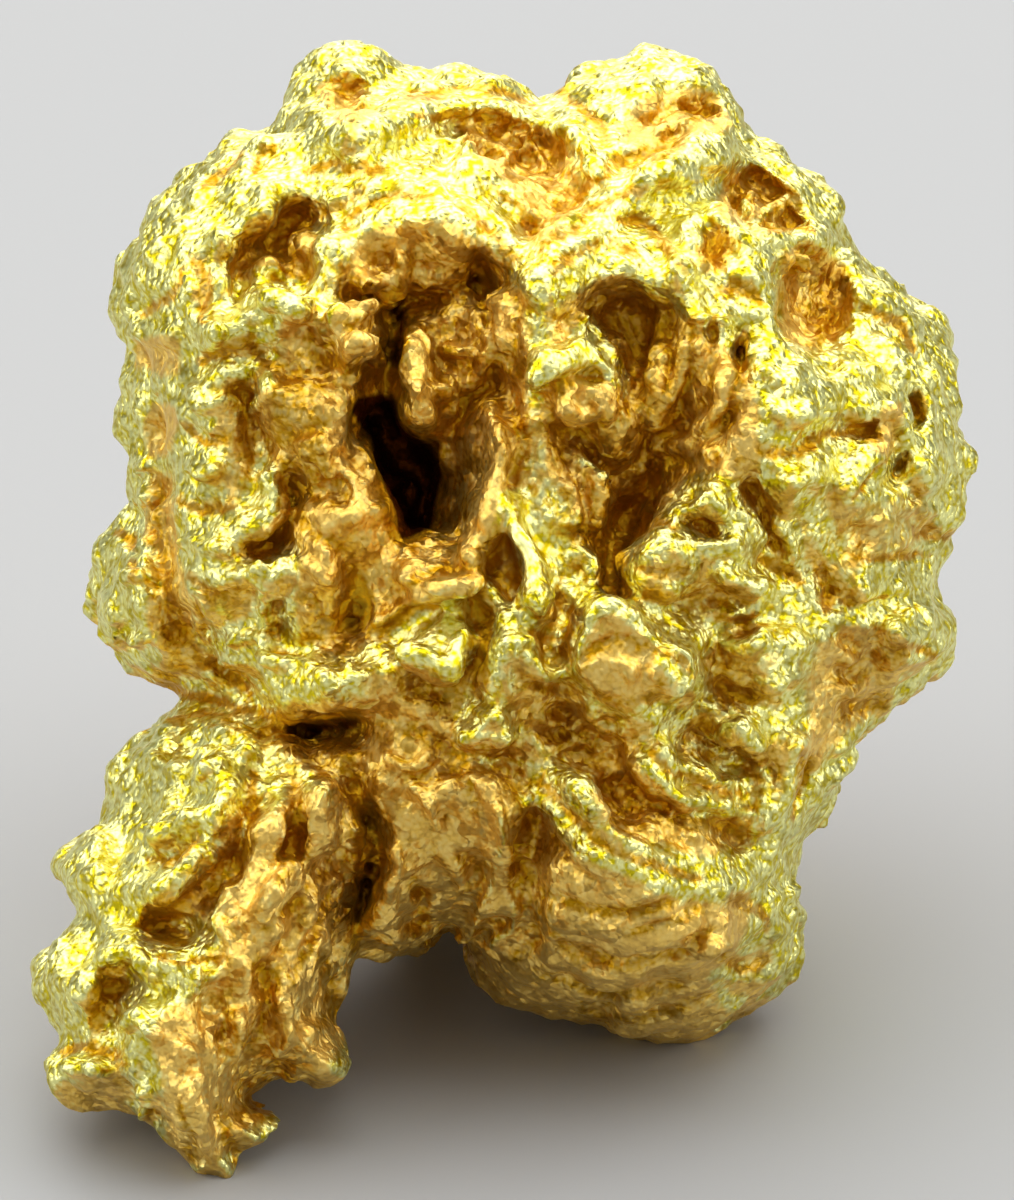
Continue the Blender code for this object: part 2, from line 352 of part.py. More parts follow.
# Folds and grooves of the front: a line, the widths of its left and right slopes, and a rise.
# Along a line drawn to the right, its left slope is the upper one.
FRONT_FOLDS = {
    "crest": (
        [(-4.1, 18.2), (-3.2, 18.75), (-2.1, 18.45), (-1.0, 18.3), (0.0, 18.25), (0.8, 17.9)],
        0.5, 0.3, 0.6,
    ),
    "second ridge": (
        [(-4.6, 17.1), (-3.6, 17.2), (-2.6, 17.2), (-1.9, 17.5), (-0.9, 17.8), (0.0, 17.85),
         (0.8, 17.6), (1.5, 17.0), (1.9, 16.3)],
        0.5, 0.25, 0.9,
    ),
    "low ridge": ([(-0.9, 17.1), (-0.3, 16.6), (0.4, 16.25), (1.1, 15.8)], 0.25, 0.35, 0.5),
    "arch": (
        [(-3.3, 13.7), (-3.3, 14.5), (-3.0, 15.2), (-2.4, 15.6), (-1.7, 15.75), (-1.0, 15.65),
         (-0.45, 15.35), (0.1, 14.9), (0.45, 14.4), (0.7, 13.7), (0.75, 13.0)],
        0.9, 0.18, 0.6,
    ),
    "spine and right arch": (
        [(0.85, 12.9), (0.85, 14.0), (0.95, 14.8), (1.4, 15.4), (2.0, 15.95), (2.8, 16.3), (3.6, 16.6),
         (4.4, 16.95), (5.0, 17.05)],
        0.25, 0.5, 0.7,
    ),
    "brow": (
        [(1.0, 14.0), (1.5, 14.3), (2.3, 14.45), (3.0, 14.2), (3.6, 13.85), (4.3, 13.55), (5.0, 13.45),
         (5.3, 12.9), (5.35, 12.0), (5.3, 11.0)],
        0.9, 0.2, 0.7,
    ),
    "pillar a": ([(3.05, 13.9), (3.1, 12.9), (3.15, 11.7)], 0.14, 0.14, 0.5),
    "pillar b": ([(3.5, 13.6), (3.45, 12.6), (3.35, 11.5)], 0.16, 0.16, 0.5),
    "curtain a": ([(3.9, 13.6), (3.85, 12.8), (3.6, 11.9), (3.3, 11.2)], 0.22, 0.25, 0.5),
    "curtain b": ([(4.5, 13.5), (4.5, 12.6), (4.3, 11.8), (3.9, 11.0)], 0.25, 0.3, 0.7),
    "curtain c": ([(5.0, 13.0), (4.95, 12.2), (4.8, 11.4), (4.4, 10.7)], 0.25, 0.3, 0.5),
    "top right rim": (
        [(2.6, 17.9), (3.2, 18.35), (3.9, 18.5), (4.5, 18.2), (4.85, 17.5)],
        0.4, 0.25, 0.6,
    ),
    "ring": (
        [(3.5, 16.4), (4.2, 16.85), (5.0, 17.0), (5.7, 16.75), (6.25, 16.2), (6.5, 15.6), (6.0, 15.1),
         (5.2, 15.1)],
        0.45, 0.3, 0.9,
    ),
    "ring inner wall": (
        [(4.1, 16.0), (4.3, 15.6), (4.8, 15.1), (5.0, 14.4), (5.2, 13.8)],
        0.3, 0.3, 0.6,
    ),
    "small hollow rim": ([(3.4, 15.6), (3.7, 15.1), (3.55, 14.6), (3.8, 14.1)], 0.25, 0.2, 0.5),
    "right rim": (
        [(6.9, 14.9), (7.4, 14.3), (8.1, 13.8), (8.5, 13.1), (8.8, 12.1), (8.9, 11.0), (8.8, 10.2)],
        0.35, 0.4, 0.8,
    ),
    "right column": ([(5.55, 13.0), (5.6, 12.0), (5.6, 11.0), (6.0, 10.2), (6.4, 9.5)], 0.5, 0.6, 0.9),
    "right shelf": ([(6.0, 11.7), (6.7, 12.0), (7.4, 11.7), (8.0, 12.2)], 0.3, 0.3, 0.6),
    "lens leaf a": ([(6.8, 9.9), (7.0, 10.4), (7.6, 10.9)], 0.2, 0.25, 0.5),
    "lens leaf b": ([(6.8, 9.9), (7.3, 10.2), (7.7, 10.7)], 0.2, 0.2, 0.4),
    "fan fold a": ([(7.7, 10.1), (8.2, 10.6), (8.9, 10.1)], 0.25, 0.3, 0.7),
    "fan fold b": ([(6.9, 9.5), (7.4, 9.85), (8.1, 9.7), (8.8, 9.6)], 0.22, 0.22, 0.5),
    "fan fold c": ([(7.0, 9.0), (7.5, 9.0), (8.0, 9.2), (8.6, 9.2)], 0.22, 0.25, 0.5),
    "fan fold d": ([(6.7, 8.5), (7.4, 8.6), (8.2, 8.6)], 0.25, 0.3, 0.4),
    "small ring": (
        [(3.5, 9.7), (3.8, 9.95), (4.25, 9.9), (4.6, 9.5), (4.6, 9.0), (4.2, 8.9), (3.9, 9.2)],
        0.2, 0.2, 0.6,
    ),
    "ring tail": ([(4.2, 8.6), (4.8, 8.4), (5.3, 8.2)], 0.2, 0.2, 0.5),
    "ring top": ([(3.9, 10.25), (4.4, 10.1), (4.8, 9.9)], 0.2, 0.2, 0.4),
    "disc rim": (
        [(1.5, 6.3), (1.45, 7.1), (1.8, 7.7), (2.4, 7.85), (3.0, 7.5), (3.5, 7.25), (3.9, 7.1)],
        0.22, 0.25, 0.6,
    ),
    "disc low rim": (
        [(1.5, 6.4), (1.9, 5.95), (2.5, 5.7), (3.0, 5.7), (3.5, 6.1), (3.85, 6.7)],
        0.2, 0.25, 0.4,
    ),
    "petal": (
        [(0.35, 5.6), (0.0, 6.3), (-0.1, 7.0), (0.15, 7.5), (0.55, 7.6), (0.95, 7.3)],
        0.3, 0.25, 0.8,
    ),
    "petal inner": ([(0.4, 7.0), (0.7, 6.8), (1.0, 6.5), (1.4, 6.5)], 0.2, 0.2, 0.5),
    "upper lip": ([(2.7, 5.45), (2.95, 4.9), (3.45, 4.4), (4.2, 4.1), (5.0, 4.0)], 0.5, 0.4, 1.3),
    "upper lip ridge": ([(4.2, 5.3), (4.7, 5.5), (5.2, 5.0)], 0.25, 0.25, 0.6),
    "smile lip": (
        [(0.4, 5.0), (0.8, 4.25), (1.3, 3.6), (1.9, 3.1), (2.6, 2.85), (3.4, 2.6), (4.1, 2.45),
         (4.8, 2.75), (5.4, 3.1)],
        0.45, 0.35, 1.2,
    ),
    "smile branch": ([(1.1, 4.6), (1.6, 4.2), (1.9, 3.5)], 0.25, 0.25, 0.6),
    "flank fold": ([(5.6, 5.6), (5.8, 4.8), (5.6, 4.0), (5.5, 3.2)], 0.4, 0.3, 0.7),
    "flank ridge": ([(6.9, 5.3), (6.85, 4.8), (6.45, 4.2), (6.2, 3.4)], 0.25, 0.25, 0.6),
    "middle ridge": ([(-0.1, 4.3), (0.05, 3.3), (-0.1, 2.4), (-0.5, 1.6)], 0.3, 0.3, 0.5),
    "middle fold": ([(-2.8, 1.3), (-2.3, 2.0), (-2.0, 2.8), (-2.2, 3.5)], 0.25, 0.25, 0.5),
    "inner column ridge": (
        [(-3.9, 12.6), (-3.6, 11.4), (-3.3, 10.3), (-3.3, 9.3), (-3.6, 8.0)],
        0.6, 0.7, 0.7,
    ),
    "left column": (
        [(-5.7, 13.0), (-5.9, 11.8), (-5.8, 10.5), (-5.9, 9.3), (-5.7, 8.2), (-5.2, 7.2)],
        0.7, 0.6, 1.0,
    ),
    "column branch": ([(-5.4, 9.2), (-4.8, 9.7), (-4.45, 10.3), (-4.4, 11.0)], 0.25, 0.3, 0.6),
    "column low branch": ([(-5.0, 8.6), (-4.5, 8.4), (-4.2, 8.7)], 0.2, 0.2, 0.5),
    "bead ledge": ([(-5.0, 6.5), (-4.0, 6.25), (-3.0, 6.25), (-2.4, 5.9)], 0.3, 0.25, 0.9),
    "hollow rim": ([(-4.4, 15.95), (-4.8, 15.7), (-5.3, 15.3), (-5.9, 15.0)], 0.3, 0.25, 0.6),
    "left ledge": ([(-6.1, 13.0), (-5.3, 13.1), (-4.7, 13.35), (-4.2, 12.95)], 0.3, 0.3, 0.8),
    "left ledge low": ([(-6.1, 12.3), (-5.2, 12.55), (-4.6, 12.4), (-4.4, 12.0)], 0.22, 0.25, 0.6),
    "curl a": ([(-5.0, 14.3), (-4.6, 14.6), (-4.3, 14.45)], 0.2, 0.22, 0.8),
    "curl b": ([(-5.1, 13.8), (-4.7, 14.05), (-4.2, 13.75), (-3.8, 13.65)], 0.2, 0.25, 0.9),
    "leg band a": ([(-7.1, 3.3), (-6.3, 3.5), (-5.7, 4.0), (-5.3, 4.8)], 0.3, 0.35, 0.8),
    "leg band b": ([(-7.1, 2.1), (-6.3, 2.5), (-5.6, 3.2)], 0.3, 0.3, 0.8),
    "leg shelf": ([(-8.1, 0.8), (-7.4, 1.1), (-6.8, 0.8), (-6.0, 0.6), (-5.5, 0.9)], 0.35, 0.3, 0.9),
    "leg fold a": ([(-3.9, 2.9), (-4.5, 2.1), (-5.0, 1.4)], 0.22, 0.25, 0.5),
    "leg fold b": ([(-3.3, 2.3), (-3.6, 1.4), (-4.0, 0.5), (-4.1, -0.4)], 0.25, 0.3, 0.5),
    "leg fold c": ([(-4.0, 2.2), (-4.7, 1.4), (-5.0, 0.4)], 0.2, 0.25, 0.4),
    "leg toe ridge": ([(-6.4, -1.2), (-6.2, -2.2), (-5.9, -3.1)], 0.4, 0.4, 0.5),
    "crest groove": ([(-1.8, 18.0), (-0.9, 18.1), (0.1, 18.05), (0.8, 17.8)], 0.14, 0.14, -0.5),
    "right dark crevice": (
        [(3.4, 10.8), (2.9, 10.2), (2.5, 9.5), (2.15, 8.7), (2.3, 8.1)],
        0.25, 0.25, -1.1,
    ),
    "left channel": (
        [(-6.75, 10.4), (-6.75, 9.4), (-6.6, 8.5), (-6.4, 7.7), (-6.0, 6.9)],
        0.3, 0.3, -0.6,
    ),
    "neck": ([(-6.6, 6.2), (-5.6, 6.0), (-4.6, 5.8), (-3.6, 5.2), (-2.8, 4.6)], 0.4, 0.4, -0.8),
    "leg gap": ([(-2.8, 4.3), (-2.45, 3.2), (-2.6, 2.4), (-2.85, 1.2)], 0.22, 0.22, -1.0),
    "lobe a gap": ([(-4.95, 4.6), (-4.9, 3.6), (-5.2, 2.8)], 0.15, 0.15, -0.4),
    "lobe b gap": ([(-4.05, 4.3), (-4.0, 3.3), (-4.3, 2.4)], 0.15, 0.15, -0.4),
    "facet channel": ([(-0.45, 8.0), (-0.35, 7.2), (-0.3, 6.4)], 0.2, 0.2, -0.4),
}

# The back is a calmer side of the same growth.
BACK_FORMS = {
    "back hump": ((1.5, 11.5), (4.2, 4.8), 15, 1.1, 0.3),
    "back left hump": ((-4.6, 12.5), (2.4, 3.4), -10, 0.8, 0.4),
    "back lower hump": ((2.8, 5.2), (3.2, 2.4), 10, 1.0, 0.4),
    "back deep hollow": ((-1.6, 9.2), (1.3, 1.9), 25, -2.3, 0.7),
    "back top hollow": ((0.9, 15.8), (1.6, 1.0), -15, -1.6, 0.7),
    "back side hollow": ((5.6, 9.4), (1.0, 1.7), 20, -1.6, 0.6),
    "back left hollow": ((-5.2, 8.6), (0.9, 1.3), -15, -1.4, 0.6),
    "back pocket": ((3.0, 14.2), (0.8, 0.7), 0, -1.2, 0.7),
    "back small pocket": ((-3.0, 15.0), (0.7, 0.9), 30, -1.1, 0.7),
    "hind left foot": ((-1.5, 2.5), (1.25, 1.3), 0, 4.9, 0.6),
    "hind right foot": ((3.7, 2.5), (1.5, 1.3), 0, 3.9, 0.6),
    "back leg lump": ((-6.0, 2.4), (1.5, 1.7), 10, 0.8, 0.5),
    "back toe lump": ((-6.6, -0.9), (1.2, 1.0), 0, 0.6, 0.5),
    "back knuckle": ((6.9, 12.8), (1.1, 1.2), 0, 0.8, 0.6),
    "back crown": ((3.4, 17.2), (1.1, 0.9), 0, 0.7, 0.6),
    "back shoulder": ((-3.6, 17.0), (1.4, 0.9), 15, 0.7, 0.6),
}

BACK_FOLDS = {
    "back arch": (
        [(-4.0, 7.6), (-3.6, 9.4), (-3.0, 11.2), (-1.8, 12.2), (-0.4, 12.0), (0.4, 10.8), (0.4, 9.2),
         (-0.2, 7.8)],
        0.8, 0.6, 1.2,
    ),
    "back rim": (
        [(-1.0, 15.2), (0.0, 16.8), (1.4, 17.0), (2.6, 16.2), (3.6, 15.4), (4.6, 15.6)],
        0.6, 0.7, 1.0,
    ),
    "back right fold": ([(4.0, 12.6), (4.4, 11.0), (4.2, 9.4), (4.6, 7.8), (5.6, 6.8)], 0.7, 0.6, 1.1),
    "back flank fold": ([(6.9, 11.6), (7.0, 10.2), (6.8, 8.8), (7.2, 7.6)], 0.6, 0.6, 0.9),
    "back left fold": (
        [(-6.4, 13.0), (-6.3, 11.4), (-6.4, 9.8), (-6.3, 8.2), (-5.6, 6.8)],
        0.6, 0.6, 0.9,
    ),
    "back lip": ([(-0.6, 5.6), (0.6, 4.6), (2.0, 4.2), (3.4, 4.5), (4.6, 5.4)], 0.7, 0.5, 1.0),
    "back low lip": ([(0.6, 3.0), (2.0, 2.4), (3.6, 2.5), (4.8, 3.2)], 0.5, 0.5, 0.7),
    "back crossing": ([(-4.8, 15.4), (-3.6, 13.9), (-2.2, 13.6), (-0.9, 14.2)], 0.5, 0.5, 0.8),
    "back neck": ([(-6.6, 6.1), (-5.4, 5.6), (-4.2, 5.4), (-3.0, 4.6)], 0.7, 0.7, -1.3),
    "back leg fold": ([(-7.6, 3.6), (-6.6, 2.2), (-6.4, 0.6), (-6.0, -0.8)], 0.5, 0.6, 0.6),
    "back crevice": ([(1.6, 13.8), (2.0, 12.2), (2.4, 10.4), (2.2, 8.6)], 0.35, 0.35, -1.3),
}

# The feet that the nugget stands on: across and depth on the table, and half widths.
FEET = {
    "leg tip": ((-5.7, -6.3), (1.0, 0.8)),
    "lobe": ((3.0, 0.0), (1.8, 0.8)),
    "hind left": ((-1.5, 6.9), (1.2, 1.1)),
    "hind right": ((3.7, 6.6), (1.2, 1.1)),
}
FOOT_SINK = 0.35  # how much of a foot the flat takes off
BELLY_LIFT = 0.9  # clearance under the belly, away from the feet
FOOT_SPREAD = 1.5  # how far a foot's rise to the belly reaches, in its own half widths
FOOT_EDGE = 0.8  # under 1 the foot rises steeply at its rim
BELLY_SOFTNESS = 0.22  # height over which the underside eases into its clearance


def clear_scene():
    for obj in list(bpy.data.objects):
        bpy.data.objects.remove(obj, do_unlink=True)


def smooth_line(points, step=0.3, closed=False):
    """Points of a Catmull-Rom curve through the given ones, about a step apart."""
    points = np.array(points, float)
    count = len(points)
    line = []
    for i in range(count if closed else count - 1):
        before = points[i - 1] if closed or i else points[0]
        start = points[i]
        end = points[(i + 1) % count]
        after = points[(i + 2) % count] if closed or i + 2 < count else points[-1]
        pieces = max(2, math.ceil(np.linalg.norm(end - start) / step))
        for t in np.arange(pieces) / pieces:
            line.append(
                0.5 * (2 * start + (end - before) * t
                       + (2 * before - 5 * start + 4 * end - after) * t ** 2
                       + (3 * start - before - 3 * end + after) * t ** 3)
            )
    if not closed:
        line.append(points[-1])
    return np.array(line)


def line_distance(x, z, line):
    """Each point's distance to a line, the side it is on (1 is left) and how far along it is."""
    nearest = np.full(len(x), np.inf)
    side = np.ones(len(x))
    along = np.zeros(len(x))
    travelled = 0.0
    for start, end in zip(line[:-1], line[1:]):
        run = end - start
        length = np.hypot(*run)
        t = np.clip(((x - start[0]) * run[0] + (z - start[1]) * run[1]) / length ** 2, 0, 1)
        off_x = x - start[0] - t * run[0]
        off_z = z - start[1] - t * run[1]
        distance = np.hypot(off_x, off_z)
        closer = distance < nearest
        nearest[closer] = distance[closer]
        side[closer] = np.where(run[0] * off_z - run[1] * off_x >= 0, 1, -1)[closer]
        along[closer] = (travelled + t * length)[closer]
        travelled += length
    return nearest, side, along / travelled


def inside_outline(x, z, line):
    """True where a point lies inside the closed line."""
    inside = np.zeros(len(x), bool)
    for (ax, az), (bx, bz) in zip(line, np.roll(line, -1, axis=0)):
        if az == bz:
            continue
        crosses = ((az > z) != (bz > z)) & (x < (bx - ax) * (z - az) / (bz - az) + ax)
        inside ^= crosses
    return inside


def form_height(x, z, place, widths, turn, rise, firmness):
    """A lump or hollow with an oval plan."""
    angle = math.radians(turn)
    dx = x - place[0]
    dz = z - place[1]
    u = (dx * math.cos(angle) + dz * math.sin(angle)) / widths[0]
    v = (dz * math.cos(angle) - dx * math.sin(angle)) / widths[1]
    reach = FORM_FOOT[0] - FORM_FOOT[1] * firmness
    r = np.sqrt(u * u + v * v) / reach
    return rise * np.clip(1 - r ** (2 + 2 * firmness), 0, 1) ** (2 - firmness)


def near_line(x, z, line, pad):
    """True where a point lies in the line's box, grown by the pad."""
    near = (x > line[:, 0].min() - pad) & (x < line[:, 0].max() + pad)
    return near & (z > line[:, 1].min() - pad) & (z < line[:, 1].max() + pad)


def fold_height(x, z, points, left, right, rise):
    """A fold or groove along a line, with a slope of its own on each side, fading at both ends."""
    line = smooth_line(points)
    near = near_line(x, z, line, FOLD_SLOPE * max(left, right, FINEST))
    height = np.zeros(len(x))
    if near.any():
        distance, side, along = line_distance(x[near], z[near], line)
        width = FOLD_SLOPE * np.maximum(np.where(side > 0, left, right), FINEST)
        profile = np.clip(1 - (distance / width) ** 2, 0, 1) ** FOLD_ROUND
        fade = np.clip(np.minimum(along, 1 - along) / FOLD_FADE, FOLD_END, 1)
        height[near] = FOLD_STRENGTH * rise * profile * fade
    return height


def inner_share(x, z, line, width):
    """0 on and outside a closed line, easing to 1 at this width inside it."""
    share = np.zeros(len(x))
    near = near_line(x, z, line, 0)
    if near.any():
        distance, _, _ = line_distance(x[near], z[near], np.vstack([line, line[:1]]))
        depth = np.clip(distance / max(width, FINEST), 0, 1)
        inside = inside_outline(x[near], z[near], line)
        share[near] = np.where(inside, 1 - (1 - depth) ** 2, 0)
    return share


def hollow_height(x, z, points, depth, wall):
    return -depth * inner_share(x, z, smooth_line(points, 0.2, closed=True), wall)


def facet_height(x, z, points, rise, edge, tilts):
    line = smooth_line(points, 0.2, closed=True)
    middle = line.mean(axis=0)
    top = rise + tilts[0] * (x - middle[0]) + tilts[1] * (z - middle[1])
    return top * inner_share(x, z, line, edge)


def front_relief(x, z):
    height = np.zeros(len(x))
    for hollow in HOLLOWS.values():
        height += hollow_height(x, z, *hollow)
    for facet in FACETS.values():
        height += facet_height(x, z, *facet)
    for form in FRONT_FORMS.values():
        height += form_height(x, z, *form)
    for fold in FRONT_FOLDS.values():
        height += fold_height(x, z, *fold)
    limit = np.where(height > 0, RELIEF_OUT, RELIEF_IN)
    return limit * np.tanh(height / limit)


def back_relief(x, z):
    height = np.zeros(len(x))
    for form in (BACK_FORMS | random_pits(PIT_COUNT, PIT_SEED)).values():
        height += form_height(x, z, *form)
    for fold in BACK_FOLDS.values():
        height += fold_height(x, z, *fold)
    return height


def noise_shift(p):
    """Noise with three parts, each read at a place of its own."""
    return Vector([noise.noise(p + place) for place in NOISE_PLACES])


def wander(coordinates, scale, amount, seed):
    """A smooth random shift of each point, which keeps the forms from looking drawn."""
    offset = Vector((seed, 2.3 * seed, -1.7 * seed))
    return amount * np.array([noise_shift(Vector(c) / scale + offset) for c in coordinates])


def growth(coordinates, scale, seed):
    """Rounded swellings that meet in creases, between about -0.5 and 0.5."""
    offset = Vector((seed, -seed, 0.5 * seed))
    values = []
    for c in coordinates:
        p = Vector(c) / scale + offset
        p += 0.35 * noise_shift(1.3 * p)
        values.append(sum(share * abs(noise.noise(finer * p)) for finer, share in GROWTH_OCTAVES))
    return 1.6 * np.array(values) - 0.5


def random_pits(count, seed):
    """Small hollows scattered over the back, clear of the edge."""
    chance = random.Random(seed)
    return {
        f"back pit {i}": (
            (chance.uniform(-6.5, 7.5), chance.uniform(3.5, 17.5)),
            (chance.uniform(0.3, 0.6), chance.uniform(0.35, 0.8)),
            chance.uniform(-60, 60),
            chance.uniform(-1.0, -0.5),
            0.6,
        )
        for i in range(count)
    }


def slab(outline):
    """The outline as a slab, with an even mesh all over."""
    bm = bmesh.new()
    rim = [bm.verts.new((x, -SLAB_HALF, z)) for x, z in outline]
    face = bm.faces.new(rim)
    extruded = bmesh.ops.extrude_face_region(bm, geom=[face])["geom"]
    moved = [item for item in extruded if isinstance(item, bmesh.types.BMVert)]
    bmesh.ops.translate(bm, verts=moved, vec=(0, 2 * SLAB_HALF, 0))
    bmesh.ops.recalc_face_normals(bm, faces=bm.faces)
    mesh = bpy.data.meshes.new("nugget")
    bm.to_mesh(mesh)
    bm.free()
    obj = bpy.data.objects.new("nugget", mesh)
    bpy.context.scene.collection.objects.link(obj)
    return obj


def apply_modifier(obj, kind, **settings):
    """Adds a modifier, and keeps the mesh that it makes."""
    modifier = obj.modifiers.new(kind.title(), kind)
    for name, value in settings.items():
        setattr(modifier, name, value)
    graph = bpy.context.evaluated_depsgraph_get()
    made = bpy.data.meshes.new_from_object(obj.evaluated_get(graph))
    obj.modifiers.clear()
    old = obj.data
    obj.data = made
    bpy.data.meshes.remove(old)
    made.name = "nugget"


def coordinates_of(obj):
    flat = np.empty(3 * len(obj.data.vertices))
    obj.data.vertices.foreach_get("co", flat)
    return flat.reshape(-1, 3)


def normals_of(obj):
    flat = np.empty(3 * len(obj.data.vertices))
    obj.data.vertex_normals.foreach_get("vector", flat)
    return flat.reshape(-1, 3)


def place_vertices(obj, coordinates):
    obj.data.vertices.foreach_set("co", coordinates.ravel())
    obj.data.update()


def leg_side(x):
    """0 on the body, easing to 1 on the leg."""
    return np.clip((LEG_SIDE - x) / LEG_BLEND, 0, 1)


def edge_depth(x, z):
    """The depth at which the front and the back meet."""
    depth = -LEG_FORWARD * np.clip(LEG_TOP - z, 0, None) * leg_side(x)
    for (px, pz), reach, shift in EDGE_SHIFTS:
        depth += shift * np.exp(-((x - px) ** 2 + (z - pz) ** 2) / reach ** 2)
    return depth


def swell(obj, outline):
    """Turns the slab into the body, with the reliefs of its front and its back."""
    co = coordinates_of(obj)
    x, y, z = co.T
    distance, _, _ = line_distance(x, z, np.vstack([outline, outline[:1]]))
    distance[~inside_outline(x, z, outline)] = 0
    share = np.clip(distance / EDGE_ROUND, 0, 1)
    dome = np.sqrt(1 - (1 - share) ** 2)
    rim = np.clip(distance / RELIEF_RIM, 0, 1)
    shift = sum(wander(co, *layer) for layer in DRIFT)
    wx = x + shift[:, 0]
    wz = z + shift[:, 2]
    middle = edge_depth(x, z)
    down_leg = np.clip((LEG_TOP - z) / LEG_LENGTH, 0, 1) * leg_side(x)
    y_front = middle - FRONT_DEPTH * (1 - LEG_TAPER * down_leg) * dome - rim * front_relief(wx, wz)
    y_back = middle + BACK_DEPTH * dome + rim * back_relief(wx, wz)
    t = np.clip((y / SLAB_HALF + 1) / 2, 0, 1)
    co[:, 1] = (1 - t) * y_front + t * y_back
    place_vertices(obj, co)


def roughen(obj):
    """Swellings and creases all over: strong at the back and the sides, light on the front."""
    co = coordinates_of(obj)
    normals = normals_of(obj)
    facing = np.clip(-normals[:, 1], 0, 1)
    behind = np.clip(normals[:, 1], 0, 1)
    amount = SWELL_SIDE + SWELL_FRONT * facing + SWELL_BACK * behind
    swelling = sum(share * growth(co, size, seed) for size, share, seed in SWELLINGS)
    place_vertices(obj, co + normals * (amount * (swelling - SWELL_LEVEL))[:, None])


def lean_back(obj):
    """Leans the nugget back, with the table at height 0."""
    obj.data.transform(Matrix.Rotation(math.radians(-LEAN_DEG), 4, "X"))
    table = -GROUND_SHIFT * math.sin(math.radians(LEAN_DEG))
    obj.data.transform(Matrix.Translation((0, 0, -table)))
    obj.data.update()


def set_on_feet(obj):
    """Lifts the underside clear of the table, except at the feet, which sink a little below it."""
    co = coordinates_of(obj)
    x, y, z = co.T
    foot = np.zeros(len(x))
    for (fx, fy), (half_x, half_y) in FEET.values():
        r = np.hypot((x - fx) / half_x, (y - fy) / half_y) / FOOT_SPREAD
        foot = np.maximum(foot, np.clip(1 - r ** 2, 0, 1) ** FOOT_EDGE)
    floor = BELLY_LIFT * (1 - foot) - FOOT_SINK
    co[:, 2] = floor + BELLY_SOFTNESS * np.logaddexp(0, (z - floor) / BELLY_SOFTNESS)
    place_vertices(obj, co)


def cut_feet(obj):
    """Cuts the feet flat at height 0."""
    bm = bmesh.new()
    bm.from_mesh(obj.data)
    geometry = bm.verts[:] + bm.edges[:] + bm.faces[:]
    cut = bmesh.ops.bisect_plane(bm, geom=geometry, plane_co=(0, 0, 0), plane_no=(0, 0, -1),
                                 clear_outer=True, dist=1e-5)
    edges = [item for item in cut["geom_cut"] if isinstance(item, bmesh.types.BMEdge)]
    made = bmesh.ops.holes_fill(bm, edges=edges, sides=0)["faces"]
    bmesh.ops.triangulate(bm, faces=made)
    bmesh.ops.recalc_face_normals(bm, faces=bm.faces)
    bm.to_mesh(obj.data)
    bm.free()
    obj.data.update()


def gold():
    material = bpy.data.materials.new("gold")
    material.use_nodes = True
    shader = material.node_tree.nodes["Principled BSDF"]
    shader.inputs["Base Color"].default_value = GOLD_COLOUR
    shader.inputs["Metallic"].default_value = 1.0
    shader.inputs["Roughness"].default_value = GOLD_ROUGHNESS
    return material


def triangle_count(obj):
    return sum(len(polygon.vertices) - 2 for polygon in obj.data.polygons)


def make_nugget():
    outline = smooth_line(OUTLINE, OUTLINE_STEP, closed=True)
    obj = slab(outline)
    apply_modifier(obj, "REMESH", mode="VOXEL", voxel_size=SHAPE_VOXEL)
    swell(obj, outline)
    apply_modifier(obj, "REMESH", mode="VOXEL", voxel_size=SHAPE_VOXEL)
    apply_modifier(obj, "SMOOTH", factor=SMOOTHING, iterations=1)
    roughen(obj)
    lean_back(obj)
    set_on_feet(obj)
    apply_modifier(obj, "REMESH", mode="VOXEL", voxel_size=SHAPE_VOXEL)
    apply_modifier(obj, "SMOOTH", factor=SMOOTHING, iterations=4)
    apply_modifier(obj, "DECIMATE", ratio=SOLID_TRIANGLES / triangle_count(obj))
    cut_feet(obj)
    co = coordinates_of(obj)
    centre = (co.min(axis=0) + co.max(axis=0)) / 2
    co[:, :2] -= centre[:2]
    place_vertices(obj, co * MM)
    obj.data.shade_smooth()
    obj.data.materials.append(gold())
    return obj


clear_scene()
make_nugget()
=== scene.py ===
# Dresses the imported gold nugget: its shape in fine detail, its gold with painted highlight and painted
# shade in its colour, a pale floor, soft light and a camera.

import itertools
import math
import random

import bmesh
import bpy
import numpy as np
from mathutils import Matrix, Vector, noise
from mathutils.bvhtree import BVHTree


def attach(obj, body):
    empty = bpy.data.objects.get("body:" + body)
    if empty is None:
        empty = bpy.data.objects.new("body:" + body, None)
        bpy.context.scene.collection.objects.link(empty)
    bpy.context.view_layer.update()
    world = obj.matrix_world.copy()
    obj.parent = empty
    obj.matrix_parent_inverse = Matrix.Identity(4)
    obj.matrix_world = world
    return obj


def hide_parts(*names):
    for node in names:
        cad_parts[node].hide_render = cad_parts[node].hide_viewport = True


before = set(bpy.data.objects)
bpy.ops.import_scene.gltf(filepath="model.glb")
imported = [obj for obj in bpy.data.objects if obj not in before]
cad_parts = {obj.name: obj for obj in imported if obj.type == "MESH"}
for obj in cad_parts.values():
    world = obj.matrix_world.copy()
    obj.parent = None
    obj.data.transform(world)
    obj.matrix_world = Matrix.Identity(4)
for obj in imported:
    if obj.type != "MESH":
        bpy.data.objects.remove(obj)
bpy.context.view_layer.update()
mm = 0.001

